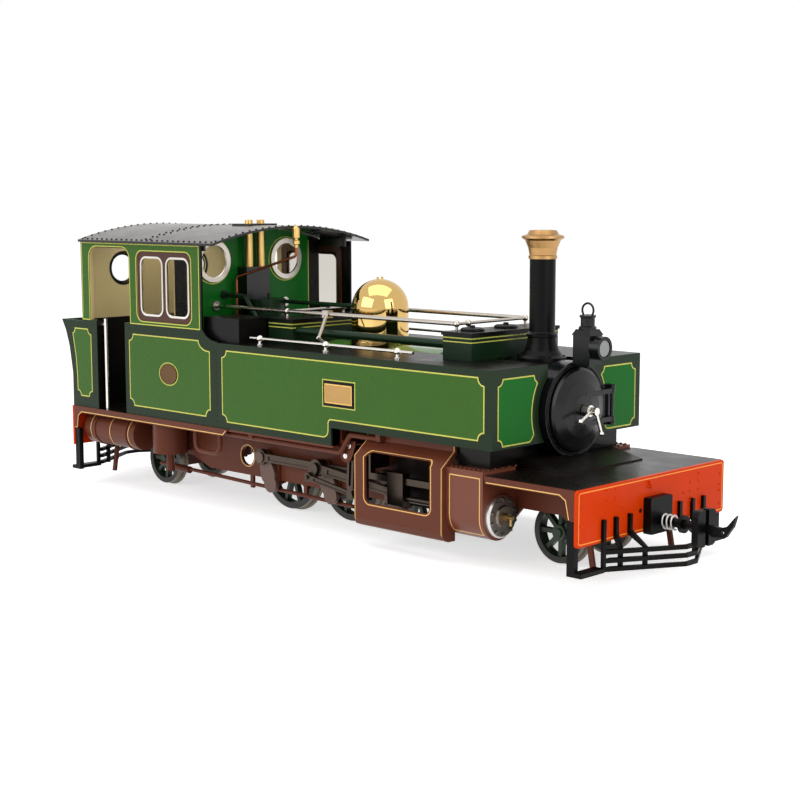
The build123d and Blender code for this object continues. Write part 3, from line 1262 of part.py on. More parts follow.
def coupler_hook():
    x0 = BEAM_X + COUPLER_HEAD_X + 2.2
    tip = BEAM_X + HOOK_REACH
    profile = outline(
        (x0, COUPLER_Z - 1.3),
        (x0 + 4.0, COUPLER_Z - 3.2),
        (tip - 5.0, COUPLER_Z - 2.6),
        (tip - 1.5, COUPLER_Z + 2.4),
        (tip, COUPLER_Z + 7.4),
        (tip - 4.5, COUPLER_Z + 2.2),
        (tip - 7.5, COUPLER_Z + 1.2),
        (x0 + 3.0, COUPLER_Z + 1.6),
        (x0, COUPLER_Z + 1.3),
    )
    profile += disc(x0, COUPLER_Z, 1.3)
    profile -= disc(x0, COUPLER_Z, 0.8 + RUNNING_FIT)
    profile -= disc(tip - 6.5, COUPLER_Z - 0.8, 0.8)
    return plate_xz(profile, -1.0, 1.0)


def make_couplers():
    turn = Plane.YZ
    save("coupler_housings", coupler_housing(), mirror(coupler_housing(), about=turn))
    save("front_coupler", coupler())
    save("rear_coupler", mirror(coupler(), about=turn))
    save("front_hook", coupler_hook())
    save("rear_hook", mirror(coupler_hook(), about=turn))
    save("coupler_springs", coupler_spring(), mirror(coupler_spring(), about=turn))


# ------------------------------------------------------------------ brake gear and running pipes
RESERVOIR_X0 = -174.0
RESERVOIR_X1 = -128.0
RESERVOIR_Y = 42.0
RESERVOIR_Z = 31.8
RESERVOIR_R = 9.0
BRAKE_CYL_X = -108.0
BRAKE_CYL_R = 9.4


def reservoir():
    tank_part = bar_x(-RESERVOIR_Y, RESERVOIR_Z, RESERVOIR_R, RESERVOIR_X0, RESERVOIR_X1)
    for x in (RESERVOIR_X0 + 8, RESERVOIR_X1 - 9):
        tank_part += bar_x(-RESERVOIR_Y, RESERVOIR_Z, RESERVOIR_R + 0.5, x, x + 2.4)
        tank_part += side_block(x, x + 2.4, FRAME_OUT, RESERVOIR_Y, RESERVOIR_Z - 2, RESERVOIR_Z + 2)
        tank_part += side_block(x, x + 2.4, RESERVOIR_Y - 3, RESERVOIR_Y + 3, RESERVOIR_Z, REAR_FRAME_TOP)
    return tank_part


def brake_cylinder():
    pot = bar_z(BRAKE_CYL_X, -FRAME_OUT - BRAKE_CYL_R, BRAKE_CYL_R, 24.0, 40.6)
    pot += bar_z(BRAKE_CYL_X, -FRAME_OUT - BRAKE_CYL_R, BRAKE_CYL_R - 2.5, 40.6, REAR_FRAME_TOP)
    pot += bar_z(BRAKE_CYL_X, -FRAME_OUT - BRAKE_CYL_R, 2.2, 14.0, 24.0)
    pot += side_block(BRAKE_CYL_X - 3, BRAKE_CYL_X + 3, FRAME_OUT, FRAME_OUT + BRAKE_CYL_R, 30.0, 36.0)
    return pot


def pull_rod():
    y = -FRAME_IN - 0.9
    rod = straight((BRAKE_CYL_X - 22, y, 14.4), (DRIVING_X + 14, y, 10.7), 1.0)
    rod += straight((BRAKE_CYL_X - 12, y, 13.7), (BRAKE_CYL_X + 4, y, 13.3), 1.9)
    for x in (DRIVER_X[0] - 17, DRIVER_X[1] + 2 - DRIVER_SPACING / 2):
        rod += block(x - 1.2, x + 1.2, -FRAME_OUT + 0.2, -FRAME_IN, 10.4, FRAME_LOW)
    return rod


def running_pipe():
    y = -BODY_HALF + 4.0
    z = REAR_FRAME_TOP - 2.2
    high = MID_FRAME_TOP - 1.5
    pipe = tube_path(
        [(-62.0, y, z), (NOTCH_X + 1.5, y, z), (NOTCH_X + 8.0, y, high), (62.0, y, high)], 2.5, 1.3
    )
    pipe += tube_path([(-75.0, y, REAR_FRAME_TOP - 0.2), (-75.0, y, 30.0), (-55.0, y, 30.0), (-55.0, y, z)], 4.5, 1.2)
    pipe += side_block(60.0, 63.0, MID_DECK_HALF, BODY_HALF - 2.6, high - 1.0, MID_DECK_TOP - 0.2)
    pipe += side_block(-30.0, -27.0, BODY_HALF - 6, BODY_HALF - 2.0, z, REAR_FRAME_TOP)
    return pipe


def make_brake_gear():
    save("brake_gear", both(reservoir()), brake_cylinder(), both(pull_rod()), running_pipe())


# ------------------------------------------------------------------ inside the cab
BACKHEAD_X = BOILER_X0
REGULATOR_Z = BOILER_Z + 13.0
REVERSER_X = -112.0
REVERSER_Y = -36.0


def make_cab_inside():
    plate = bar_x(0, BOILER_Z, BOILER_R - 0.6, BACKHEAD_X - 2.0, BACKHEAD_X)
    plate += bar_x(0, REGULATOR_Z, 3.0, BACKHEAD_X - 5.0, BACKHEAD_X - 1)
    plate += bar_x(0, REGULATOR_Z, 1.0, BACKHEAD_X - 9.0, BACKHEAD_X - 4)
    plate += bar_x(0, BOILER_Z - 5, 6.0, BACKHEAD_X - 12.0, BACKHEAD_X - 1)
    for z in (BOILER_Z - 4, BOILER_Z + 10):
        plate += bar_x(13.0, z, 1.4, BACKHEAD_X - 5.0, BACKHEAD_X - 1)
    gauge = bar_z(BACKHEAD_X - 5.0, 13.0, 1.2, BOILER_Z - 6, BOILER_Z + 12)
    dial = bar_x(-11.0, BOILER_Z + 11, 4.0, BACKHEAD_X - 5.0, BACKHEAD_X - 1.9)
    quadrant = block(REVERSER_X - 8, REVERSER_X + 8, REVERSER_Y - 3, REVERSER_Y - 1.4, REAR_DECK_TOP, 58.0)
    quadrant += bar_y(REVERSER_X, 50.0, 1.2, REVERSER_Y - 2, REVERSER_Y + 2.2)
    save("backhead", plate + gauge + dial, quadrant)

    lever = bar_x(0, REGULATOR_Z, 2.4, BACKHEAD_X - 8.4, BACKHEAD_X - 6.6)
    lever += block(BACKHEAD_X - 8.0, BACKHEAD_X - 7.0, -15.0, 6.0, REGULATOR_Z - 0.8, REGULATOR_Z + 0.8)
    lever += bar_x(-15.0, REGULATOR_Z, 1.1, BACKHEAD_X - 12.0, BACKHEAD_X - 7.0)
    lever -= bar_x(0, REGULATOR_Z, 1.0 + RUNNING_FIT, BACKHEAD_X - 12, BACKHEAD_X - 4)
    save("regulator_lever", lever)

    arm = block(REVERSER_X - 1.1, REVERSER_X + 1.1, REVERSER_Y - 1.0, REVERSER_Y + 0.6, 47.6, 82.0)
    arm += bar_y(REVERSER_X, 50.0, 2.3, REVERSER_Y - 1.0, REVERSER_Y + 0.6)
    arm += bar_z(REVERSER_X, REVERSER_Y - 0.2, 1.5, 80.0, 90.0)
    arm -= bar_y(REVERSER_X, 50.0, 1.2 + RUNNING_FIT, REVERSER_Y - 3, REVERSER_Y + 3)
    save("reverser_lever", arm)


# ------------------------------------------------------------------ build
make_main_frame()
make_axle_boxes()
make_footplates()
make_valances()
make_buffer_beams()
make_cowcatchers()
make_cylinders()
make_wheelsets()
make_rods()
make_ponies()
make_boiler()
make_smokebox()
make_door()
make_chimney()
make_dome()
make_tanks()
make_tank_top_boxes()
make_cab()
make_bunker()
make_windows()
make_roof()
make_handrails()
make_sand_rods()
make_fittings()
make_lamp()
make_couplers()
make_brake_gear()
make_cab_inside()
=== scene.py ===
import math

import bmesh
import bpy
from mathutils import Matrix, Vector


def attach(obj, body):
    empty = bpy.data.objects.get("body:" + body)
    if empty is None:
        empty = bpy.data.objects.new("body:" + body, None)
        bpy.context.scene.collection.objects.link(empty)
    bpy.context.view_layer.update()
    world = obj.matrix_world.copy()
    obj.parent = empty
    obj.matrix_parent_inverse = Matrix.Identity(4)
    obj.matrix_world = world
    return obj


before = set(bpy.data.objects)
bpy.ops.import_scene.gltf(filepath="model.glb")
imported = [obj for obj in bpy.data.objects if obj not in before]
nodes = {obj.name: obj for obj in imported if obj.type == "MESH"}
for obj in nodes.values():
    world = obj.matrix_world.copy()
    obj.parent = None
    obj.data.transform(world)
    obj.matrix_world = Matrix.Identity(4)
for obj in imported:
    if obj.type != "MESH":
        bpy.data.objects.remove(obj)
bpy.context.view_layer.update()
scene = bpy.context.scene
scene.view_settings.view_transform = "Standard"

# All sizes below are in mm over the rail head. P() turns them into metres in the row frame.
LIFT = 1.2


def P(x, y, z):
    return Vector((x / 1000, y / 1000, (z + LIFT) / 1000))


# ------------------------------------------------------------------ camera
# Angles, lens and place come from a fit to the photo made by a scratch script.
AZ, EL, ROLL = math.radians(44.2645), math.radians(7.4519), math.radians(-0.0840)
back = Vector((math.sin(AZ) * math.cos(EL), -math.cos(AZ) * math.cos(EL), math.sin(EL)))
right = Vector((math.cos(AZ), math.sin(AZ), 0))
up = back.cross(right)
right2 = right * math.cos(ROLL) + up * math.sin(ROLL)
up2 = back.cross(right2)
cam_data = bpy.data.cameras.new("camera")
cam_data.lens = 70.44
cam_data.sensor_width = 36
cam_data.clip_end = 20
cam = bpy.data.objects.new("camera", cam_data)
scene.collection.objects.link(cam)
rot = Matrix((right2, up2, back)).transposed()
cam.matrix_world = Matrix.Translation((0.56803, -0.55578, 0.16345)) @ rot.to_4x4()
scene.camera = cam


# ------------------------------------------------------------------ node helpers
def lin(r, g, b):
    out = []
    for c in (r, g, b):
        c /= 255
        out.append(c / 12.92 if c <= 0.04045 else ((c + 0.055) / 1.055) ** 2.4)
    return tuple(out) + (1.0,)


class Mat:
    """A Principled material whose colour and roughness come from nodes in object space."""

    def __init__(self, name):
        self.m = bpy.data.materials.new(name)
        self.m.use_nodes = True
        self.t = self.m.node_tree
        self.t.nodes.clear()
        self.out = self.t.nodes.new("ShaderNodeOutputMaterial")
        self.p = self.t.nodes.new("ShaderNodeBsdfPrincipled")
        self.t.links.new(self.p.outputs[0], self.out.inputs[0])
        self.coord = self.t.nodes.new("ShaderNodeTexCoord").outputs["Object"]

    def node(self, kind, **sockets):
        n = self.t.nodes.new("ShaderNode" + kind)
        for key, value in sockets.items():
            n.inputs[key].default_value = value
        return n

    def link(self, a, b):
        self.t.links.new(a, b)

    def noise(self, scale, detail=4.0, rough=0.6, stretch=None):
        n = self.node("TexNoise", Scale=scale, Detail=detail, Roughness=rough)
        source = self.coord
        if stretch:
            m = self.node("Mapping")
            m.inputs["Scale"].default_value = stretch
            self.link(source, m.inputs[0])
            source = m.outputs[0]
        self.link(source, n.inputs["Vector"])
        return n.outputs["Fac"]

    def ramp(self, fac, low, high, a, b):
        r = self.t.nodes.new("ShaderNodeMapRange")
        r.inputs["From Min"].default_value = low
        r.inputs["From Max"].default_value = high
        r.inputs["To Min"].default_value = a
        r.inputs["To Max"].default_value = b
        self.link(fac, r.inputs[0])
        return r.outputs[0]

    def mix(self, fac, a, b):
        """Colour mix; a and b are colours or sockets."""
        n = self.t.nodes.new("ShaderNodeMix")
        n.data_type = "RGBA"
        for key, value in ((0, fac), (6, a), (7, b)):
            if isinstance(value, (tuple, float, int)):
                n.inputs[key].default_value = value
            else:
                self.link(value, n.inputs[key])
        return n.outputs[2]

    def math(self, op, a, b=0.0):
        n = self.t.nodes.new("ShaderNodeMath")
        n.operation = op
        for i, value in enumerate((a, b)):
            if isinstance(value, (float, int)):
                n.inputs[i].default_value = value
            else:
                self.link(value, n.inputs[i])
        return n.outputs[0]

    def xyz(self):
        n = self.t.nodes.new("ShaderNodeSeparateXYZ")
        self.link(self.coord, n.inputs[0])
        return n.outputs

    def normal(self):
        g = self.t.nodes.new("ShaderNodeNewGeometry")
        n = self.t.nodes.new("ShaderNodeSeparateXYZ")
        self.link(g.outputs["Normal"], n.inputs[0])
        return n.outputs

    def above(self, value, limit, soft=0.00004):
        return self.ramp(value, limit - soft, limit + soft, 0.0, 1.0)

    def bump(self, height, strength, distance):
        b = self.node("Bump", Strength=strength, Distance=distance)
        self.link(height, b.inputs["Height"])
        self.link(b.outputs[0], self.p.inputs["Normal"])

    def finish(self, colour, rough, metallic=0.0, spec=0.5, coat=0.0, coat_rough=0.08, vary=0.06,
               grain=900.0, bump=0.12, rough_vary=0.06, dirt=0.0):
        """Colour with slight tone drift, orange-peel bump and worn roughness."""
        drift = self.noise(26.0, 5.0)
        fine = self.noise(grain, 3.0, 0.55)
        shade = self.ramp(drift, 0.3, 0.7, 1.0 - vary, 1.0 + vary)
        hue = self.node("HueSaturation")
        if isinstance(colour, tuple):
            hue.inputs["Color"].default_value = colour
        else:
            self.link(colour, hue.inputs["Color"])
        self.link(shade, hue.inputs["Value"])
        result = hue.outputs[0]
        if dirt:
            spots = self.ramp(self.noise(140.0, 6.0, 0.7), 0.56, 0.72, 0.0, dirt)
            result = self.mix(spots, result, lin(60, 52, 44))
        self.link(result, self.p.inputs["Base Color"])
        self.p.inputs["Metallic"].default_value = metallic
        self.p.inputs["Specular IOR Level"].default_value = spec
        self.p.inputs["Coat Weight"].default_value = coat
        self.p.inputs["Coat Roughness"].default_value = coat_rough
        wear = self.noise(60.0, 6.0, 0.65)
        smoothest = max(rough - rough_vary, 0.02)
        self.link(self.ramp(wear, 0.3, 0.7, smoothest, rough + rough_vary), self.p.inputs["Roughness"])
        self.bump(fine, bump, 0.00004)
        return self.m


def paint(name, rgb, rough=0.32, **kw):
    kw.setdefault("coat", 0.25)
    return Mat(name).finish(lin(*rgb), rough, **kw)


def metal(name, rgb, rough, stretch=None, **kw):
    m = Mat(name)
    m.finish(lin(*rgb), rough, metallic=1.0, **kw)
    if stretch:
        m.bump(m.noise(900.0, 3.0, 0.5, stretch), 0.25, 0.00004)
    return m.m


# ------------------------------------------------------------------ finishes
GREEN = (58, 98, 32)
FRONT_GREEN = (14, 104, 28)
BORDER = (30, 46, 28)
BLACK = (10, 9, 9)
BROWN = (100, 52, 36)
LINE = (206, 204, 88)
CREAM_LINE = (240, 190, 112)
CREAM = (214, 194, 138)

green = paint("green_panel", GREEN, 0.28, spec=0.12, vary=0.03, coat=0.02, bump=0.04)
front_green = paint("green_front", FRONT_GREEN, 0.28, spec=0.1, vary=0.03, coat=0.0, bump=0.04)
border = paint("green_border", BORDER, 0.32, spec=0.12, coat=0.01, bump=0.05)
bronze = metal("bronze_dull", (104, 78, 54), 0.5, vary=0.12)
line = paint("lining_yellow", LINE, 0.5, coat=0.0)
cream_line = paint("lining_cream", CREAM_LINE, 0.5, coat=0.0)
orange_line = paint("lining_orange", (250, 150, 50), 0.5, coat=0.0)
black = paint("black_satin", BLACK, 0.38, spec=0.1, coat=0.0)
black_gloss = paint("black_gloss", (10, 11, 13), 0.24, spec=0.26, coat=0.06, bump=0.05)
black_dull = paint("black_dull", (10, 9, 9), 0.55, spec=0.15, coat=0.0)
brown = paint("brown", BROWN, 0.34, spec=0.12, coat=0.02, dirt=0.12)
vermilion = paint("vermilion", (214, 58, 0), 0.36, spec=0.08, coat=0.0, bump=0.05)
steel = metal("steel_bright", (196, 194, 190), 0.3, (1, 1, 12))
motion_steel = metal("steel_motion", (74, 65, 58), 0.34, (1, 1, 12), dirt=0.45)
nickel = metal("nickel", (226, 222, 214), 0.2)
rod_nickel = metal("nickel_rod", (190, 182, 172), 0.26)
brass = metal("brass", (216, 176, 104), 0.28)
plate_brass = metal("brass_plate", (176, 140, 88), 0.42)
polished = metal("brass_polished", (214, 178, 112), 0.05, vary=0.02, rough_vary=0.02, bump=0.01)
cap_brass = metal("brass_cap", (176, 138, 90), 0.34, (1, 1, 30), vary=0.1)
wood = paint("window_wood", (72, 38, 24), 0.4, spec=0.25, coat=0.05)

glass_m = Mat("glass_clear")
lens = glass_m.above(glass_m.xyz()[0], 0.14, 0.001)
pane = glass_m.above(glass_m.math("ABSOLUTE", glass_m.xyz()[1]), 0.05, 0.001)
pane_tint = glass_m.mix(pane, lin(250, 252, 252), lin(206, 202, 194))
glass_m.finish(glass_m.mix(lens, pane_tint, lin(176, 178, 180)), 0.05,
               spec=0.5, bump=0.01, vary=0.01, rough_vary=0.02)
glass_m.link(glass_m.ramp(lens, 0.0, 1.0, 1.0, 0.25), glass_m.p.inputs["Transmission Weight"])
glass_m.p.inputs["IOR"].default_value = 1.1
glass = glass_m.m


def tank_material():
    m = Mat("tank_sheet")
    top = m.above(m.normal()[2], 0.7, 0.1)
    inner = m.math("SUBTRACT", 1.0, m.above(m.math("ABSOLUTE", m.xyz()[1]), 0.0525))
    front = m.above(m.xyz()[0], 0.13345)
    inner = m.math("MULTIPLY", inner, m.math("SUBTRACT", 1.0, front))
    black_mask = m.math("MAXIMUM", top, inner)
    return m.finish(m.mix(black_mask, lin(*BORDER), lin(*BLACK)), 0.32, spec=0.13, coat=0.01, bump=0.05)


def inside_cab(m):
    """Cream over the waist and black under it."""
    return m.mix(m.above(m.xyz()[2], (94.0 + LIFT) / 1000), lin(8, 7, 7), lin(*CREAM))


def side_material():
    """Dark green outside; inside, cream over the waist towards the rear."""
    m = Mat("cab_side_sheet")
    x, y = m.xyz()[:2]
    outside = m.above(m.math("ABSOLUTE", y), 0.05335)
    rear = m.math("SUBTRACT", 1.0, m.above(x, -0.088, 0.0005))
    inside = m.mix(rear, lin(8, 7, 7), inside_cab(m))
    return m.finish(m.mix(outside, inside, lin(*BORDER)), 0.32, spec=0.12, coat=0.01, bump=0.05)


def cab_front_material():
    m = Mat("cab_front_sheet")
    x, y = m.xyz()[:2]
    outside = m.above(x, -0.08795)
    edge = m.above(m.math("ABSOLUTE", y), 0.043)
    face = m.mix(edge, lin(*FRONT_GREEN), lin(10, 12, 10))
    return m.finish(m.mix(outside, inside_cab(m), face), 0.3, spec=0.14, coat=0.02, bump=0.05)


def cab_back_material():
    m = Mat("cab_back_sheet")
    x = m.xyz()[0]
    inside = m.above(x, -0.16945)
    return m.finish(m.mix(inside, lin(*FRONT_GREEN), inside_cab(m)), 0.4, spec=0.2, coat=0.03)


def bunker_material():
    m = Mat("bunker_sheet")
    x, y = m.xyz()[:2]
    outside = m.above(m.math("ABSOLUTE", y), 0.05325)
    behind = m.math("SUBTRACT", 1.0, m.above(x, -0.1692))
    outer = m.math("MAXIMUM", outside, behind)
    return m.finish(m.mix(outer, lin(8, 7, 7), lin(*BORDER)), 0.34, spec=0.12, coat=0.01)


def window_material():
    m = Mat("window_metalwork")
    wood = m.above(m.math("ABSOLUTE", m.xyz()[1]), 0.045)
    colour = m.mix(wood, lin(206, 198, 188), lin(72, 38, 24))
    m.finish(colour, 0.3, metallic=0.0)
    m.link(m.math("SUBTRACT", 1.0, wood), m.p.inputs["Metallic"])
    return m.m


def wheel_material(name, cx, cz, tread_r, rim_r):
    """Dark green centre, steel tyre and tread, worked out from the distance to the axle."""
    m = Mat(name)
    x, y, z = m.xyz()
    dx = m.math("SUBTRACT", x, cx / 1000)
    dz = m.math("SUBTRACT", z, (cz + LIFT) / 1000)
    dist = m.math("SQRT", m.math("ADD", m.math("MULTIPLY", dx, dx), m.math("MULTIPLY", dz, dz)))
    tyre = m.above(dist, rim_r / 1000)
    tread = m.above(dist, (tread_r - 0.15) / 1000)
    outer = m.above(m.math("ABSOLUTE", y), 0.0325)
    body = m.mix(tyre, lin(38, 58, 38), lin(42, 40, 38))
    body = m.mix(tread, body, lin(120, 112, 100))
    body = m.mix(outer, body, lin(100, 74, 62))
    m.finish(body, 0.4, spec=0.4, coat=0.0, dirt=0.2)
    m.link(m.math("MULTIPLY", tread, 0.8), m.p.inputs["Metallic"])
    return m.m


def split_z(name, limit, low, high, low_metal, high_metal):
    """One finish under a height and another over it."""
    m = Mat(name)
    top = m.above(m.xyz()[2], (limit + LIFT) / 1000)
    m.finish(m.mix(top, lin(*low), lin(*high)), 0.34)
    m.link(m.ramp(top, 0.0, 1.0, low_metal, high_metal), m.p.inputs["Metallic"])
    return m.m


def split_x(name, limit, low, high, low_metal, high_metal):
    """One finish behind a place and another ahead of it."""
    m = Mat(name)
    ahead = m.above(m.xyz()[0], limit / 1000)
    m.finish(m.mix(ahead, lin(*low), lin(*high)), 0.34)
    m.link(m.ramp(ahead, 0.0, 1.0, low_metal, high_metal), m.p.inputs["Metallic"])
    return m.m


def roof_material():
    m = Mat("roof_sheet_painted_shade_under")
    # painted shade: faces turned down are near black, faces turned up a dark grey-brown
    top = m.above(m.normal()[2], 0.5, 0.2)
    m.finish(m.mix(top, lin(4, 3, 3), lin(50, 43, 41)), 0.28, spec=0.4, coat=0.18, coat_rough=0.2)
    m.p.inputs["Coat Tint"].default_value = (1.0, 0.93, 0.88, 1.0)
    return m.m


def footplate_material():
    """Black deck tops and saddle, brown edges and undersides."""
    m = Mat("footplate_sheet")
    place = m.xyz()
    x, z = place[0], place[2]
    saddle = m.math("MULTIPLY", m.above(x, 0.094), m.math("SUBTRACT", 1.0, m.above(x, 0.12605)))
    low = m.math("SUBTRACT", 1.0, m.above(m.normal()[2], 0.6, 0.1))
    raised = m.math("MULTIPLY", m.above(x, 0.094), m.above(z, (42.05 + LIFT) / 1000))
    low = m.math("MULTIPLY", low, m.math("SUBTRACT", 1.0, raised))
    tops = m.mix(low, lin(15, 11, 9), lin(*BROWN))
    saddle_side = m.math("MULTIPLY", saddle, low)
    return m.finish(m.mix(saddle_side, tops, lin(*BLACK)), 0.3, spec=0.16, coat=0.03, bump=0.06)


def box_line(m, x, z, x0, x1, z0, z1, r, width):
    """A mask: the line of one width round a rounded box in the side plane. Sizes in mm."""
    cx, cz = (x0 + x1) / 2000, (z0 + z1) / 2000 + LIFT / 1000
    hx, hz, r = (x1 - x0) / 2000, (z1 - z0) / 2000, r / 1000
    qx = m.math("SUBTRACT", m.math("ABSOLUTE", m.math("SUBTRACT", x, cx)), hx - r)
    qz = m.math("SUBTRACT", m.math("ABSOLUTE", m.math("SUBTRACT", z, cz)), hz - r)
    ox, oz = m.math("MAXIMUM", qx, 0.0), m.math("MAXIMUM", qz, 0.0)
    far = m.math("SQRT", m.math("ADD", m.math("MULTIPLY", ox, ox), m.math("MULTIPLY", oz, oz)))
    near = m.math("MINIMUM", m.math("MAXIMUM", qx, qz), 0.0)
    d = m.math("ABSOLUTE", m.math("SUBTRACT", m.math("ADD", far, near), r))
    return m.math("SUBTRACT", 1.0, m.above(d, width / 2000))


def band(m, value, place, width):
    d = m.math("ABSOLUTE", m.math("SUBTRACT", value, place / 1000))
    return m.math("SUBTRACT", 1.0, m.above(d, width / 2000))


def guard_material():
    """Brown with a fine line round the opening and down both upright edges, and painted shade on the inner
    faces.
    """
    m = Mat("motion_guard_sheet")
    x, y, z = m.xyz()
    away = m.math("ABSOLUTE", y)
    hole = m.math("MULTIPLY", box_line(m, x, z, 57.2, 99.8, 20.2, 45.3, 3.8, 0.5), m.above(away, 0.0525))
    edges = m.math("MAXIMUM", band(m, x, 51.5, 0.4), band(m, x, 106.2, 0.4))
    edges = m.math("MULTIPLY", edges, m.above(z, (12.0 + LIFT) / 1000))
    # painted shade: the inner faces of the guards go dark brown
    inside = m.math("MULTIPLY", m.math("SUBTRACT", 1.0, m.above(away, 0.0547)), m.above(x, 0.0516))
    inside = m.math("MULTIPLY", inside, m.math("SUBTRACT", 1.0, m.above(x, 0.1061)))
    inside = m.math("MULTIPLY", inside, m.math("SUBTRACT", 1.0, m.above(z, (42.0 + LIFT) / 1000)))
    inside = m.math("MULTIPLY", inside, m.above(z, (10.4 + LIFT) / 1000))
    base = m.mix(inside, lin(*BROWN), lin(26, 15, 12))
    return m.finish(m.mix(m.math("MAXIMUM", hole, edges), base, lin(*CREAM_LINE)), 0.34, spec=0.13,
                    coat=0.02, dirt=0.1)


def frame_material():
    """Brown, with painted shade behind the motion guards."""
    m = Mat("frame_plate_painted_shade")
    x = m.xyz()[0]
    short_of_end = m.math("SUBTRACT", 1.0, m.above(x, 0.109, 0.0005))
    # painted shade: the frame goes dark brown behind the motion guards
    behind = m.math("MULTIPLY", m.ramp(x, 0.048, 0.056, 0.0, 1.0), short_of_end)
    return m.finish(m.mix(behind, lin(*BROWN), lin(26, 15, 12)), 0.36, spec=0.12, coat=0.02, dirt=0.15)


def casing_material():
    m = Mat("cylinder_casing_sheet")
    x, y, z = m.xyz()
    panel = m.math("MULTIPLY", box_line(m, x, z, 109.0, 126.6, 14.8, 40.4, 0.2, 0.5),
                   m.above(m.math("ABSOLUTE", y), 0.0465))
    return m.finish(m.mix(panel, lin(116, 62, 44), lin(*CREAM_LINE)), 0.32, spec=0.25, coat=0.08)


def give(material, *names):
    for name in names:
        obj = nodes[name]
        if not obj.material_slots:
            obj.data.materials.append(material)
        for s in obj.material_slots:
            s.material = material


give(frame_material(), "main_frame")
give(brown, "valances", "brake_gear", "axle_boxes", "front_pony_truck", "rear_pony_truck")
give(guard_material(), "motion_guards")
give(casing_material(), "cylinder_casings")
give(footplate_material(), "footplates")
give(vermilion, "buffer_beams")
give(black, "cowcatchers", "coupler_housings", "front_coupler", "rear_coupler", "front_hook", "rear_hook")
give(black_gloss, "smokebox", "smokebox_door", "head_lamp")
give(paint("chimney_black", (8, 7, 7), 0.32, spec=0.1, coat=0.0), "chimney")
give(steel, "coupler_springs", "regulator_lever", "reverser_lever")
give(motion_steel, "slide_bars", "coupling_rod_right", "coupling_rod_left", "connecting_rod_right",
     "connecting_rod_left", "eccentric_rod_right", "eccentric_rod_left", "crosshead_right", "crosshead_left")
for name, x in (("trailing", -34.5), ("driving", 10.5), ("leading", 55.5)):
    give(wheel_material(name + "_finish", x, 20, 20, 16.8), name + "_wheelset")
give(wheel_material("front_pony_finish", 143.3, 13.7, 13.7, 10.9), "front_pony_wheels")
give(wheel_material("rear_pony_finish", -141.7, 13.7, 13.7, 10.9), "rear_pony_wheels")
give(paint("boiler_green", (70, 120, 44), 0.2, spec=0.4, coat=0.3), "boiler_shell")
give(cap_brass, "chimney_cap")
give(polished, "dome")
give(tank_material(), "tank_right", "tank_left")
give(side_material(), "cab_side_right", "cab_side_left")
give(cab_front_material(), "cab_front")
give(cab_back_material(), "cab_back")
give(bunker_material(), "bunker")
give(window_material(), "window_frames")
give(glass, "glass_panes")
give(roof_material(), "cab_roof")
give(nickel, "handrails", "door_handles")
give(rod_nickel, "sand_rods")
give(split_z("safety_finish", 124.0, BLACK, (216, 180, 112), 0.0, 1.0), "safety_valves")
give(split_z("whistle_finish", 135.0, (150, 84, 52), (216, 180, 112), 1.0, 1.0), "whistle")
give(paint("pipe_green", (16, 42, 20), 0.3, spec=0.2, coat=0.03), "steam_pipes")
give(split_x("backhead_finish", -100.05, (200, 160, 90), (24, 30, 24), 1.0, 0.0), "backhead")


def cover_material():
    """Bright rim, darker middle and a brass valve ahead of it."""
    m = Mat("cylinder_cover_finish")
    x, y, z = m.xyz()
    dy = m.math("SUBTRACT", m.math("ABSOLUTE", y), 0.0426)
    dz = m.math("SUBTRACT", z, (22.7 + LIFT) / 1000)
    dist = m.math("SQRT", m.math("ADD", m.math("MULTIPLY", dy, dy), m.math("MULTIPLY", dz, dz)))
    rim = m.above(dist, 0.0089, 0.0002)
    face = m.mix(rim, lin(122, 116, 110), lin(206, 204, 200))
    m.finish(m.mix(m.above(x, 0.13192), face, lin(168, 140, 96)), 0.32, metallic=1.0, vary=0.1)
    return m.m


give(cover_material(), "cylinder_covers")


def box_material():
    """Dark green sides with a black top plate and black lids; one box is all black."""
    m = Mat("tank_top_box_finish")
    place = m.xyz()
    x, z = place[0], place[2]
    high = m.above(z, (98.8 + LIFT) / 1000)
    rear = m.math("SUBTRACT", 1.0, m.above(x, -0.0378))
    dark = m.math("MAXIMUM", high, rear)
    return m.finish(m.mix(dark, lin(20, 42, 24), lin(*BLACK)), 0.32, spec=0.14, coat=0.02)


give(box_material(), "tank_top_boxes")


# ------------------------------------------------------------------ mesh helpers
def build(name, verts, faces, material, body, smooth):
    mesh = bpy.data.meshes.new(name)
    mesh.from_pydata([tuple(v) for v in verts], [], faces)
    bm = bmesh.new()
    bm.from_mesh(mesh)
    bmesh.ops.recalc_face_normals(bm, faces=bm.faces)
    bm.to_mesh(mesh)
    bm.free()
    for p in mesh.polygons:
        p.use_smooth = smooth
    obj = bpy.data.objects.new(name, mesh)
    scene.collection.objects.link(obj)
    obj.data.materials.append(material)
    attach(obj, body)


def side(s, y):
    """Coordinates on a side face: along, height, outwards."""
    return lambda a, b, d: P(a, s * (y + d), b)


def facing(x, sign=1):
    """Coordinates on a face across the engine: sideways, height, outwards."""
    return lambda a, b, d: P(x + sign * d, a, b)


def incurved(points, radii, steps=6):
    """The outline of a panel whose corners are cut by a quarter circle centred on the corner."""
    out = []
    n = len(points)
    for i in range(n):
        p = Vector(points[i])
        r = radii[i]
        if not r:
            out.append(tuple(p))
            continue
        a = (Vector(points[i - 1]) - p).normalized()
        b = (Vector(points[(i + 1) % n]) - p).normalized()
        for k in range(steps + 1):
            t = k / steps
            d = a * math.cos(t * math.pi / 2) + b * math.sin(t * math.pi / 2)
            out.append(tuple(p + d.normalized() * r))
    return out


def rounded(x0, x1, z0, z1, r, steps=6):
    out = []
    corners = ((x1 - r, z1 - r, 0), (x0 + r, z1 - r, 90), (x0 + r, z0 + r, 180), (x1 - r, z0 + r, 270))
    for cx, cz, start in corners:
        for k in range(steps + 1):
            a = math.radians(start + 90 * k / steps)
            out.append((cx + r * math.cos(a), cz + r * math.sin(a)))
    return out


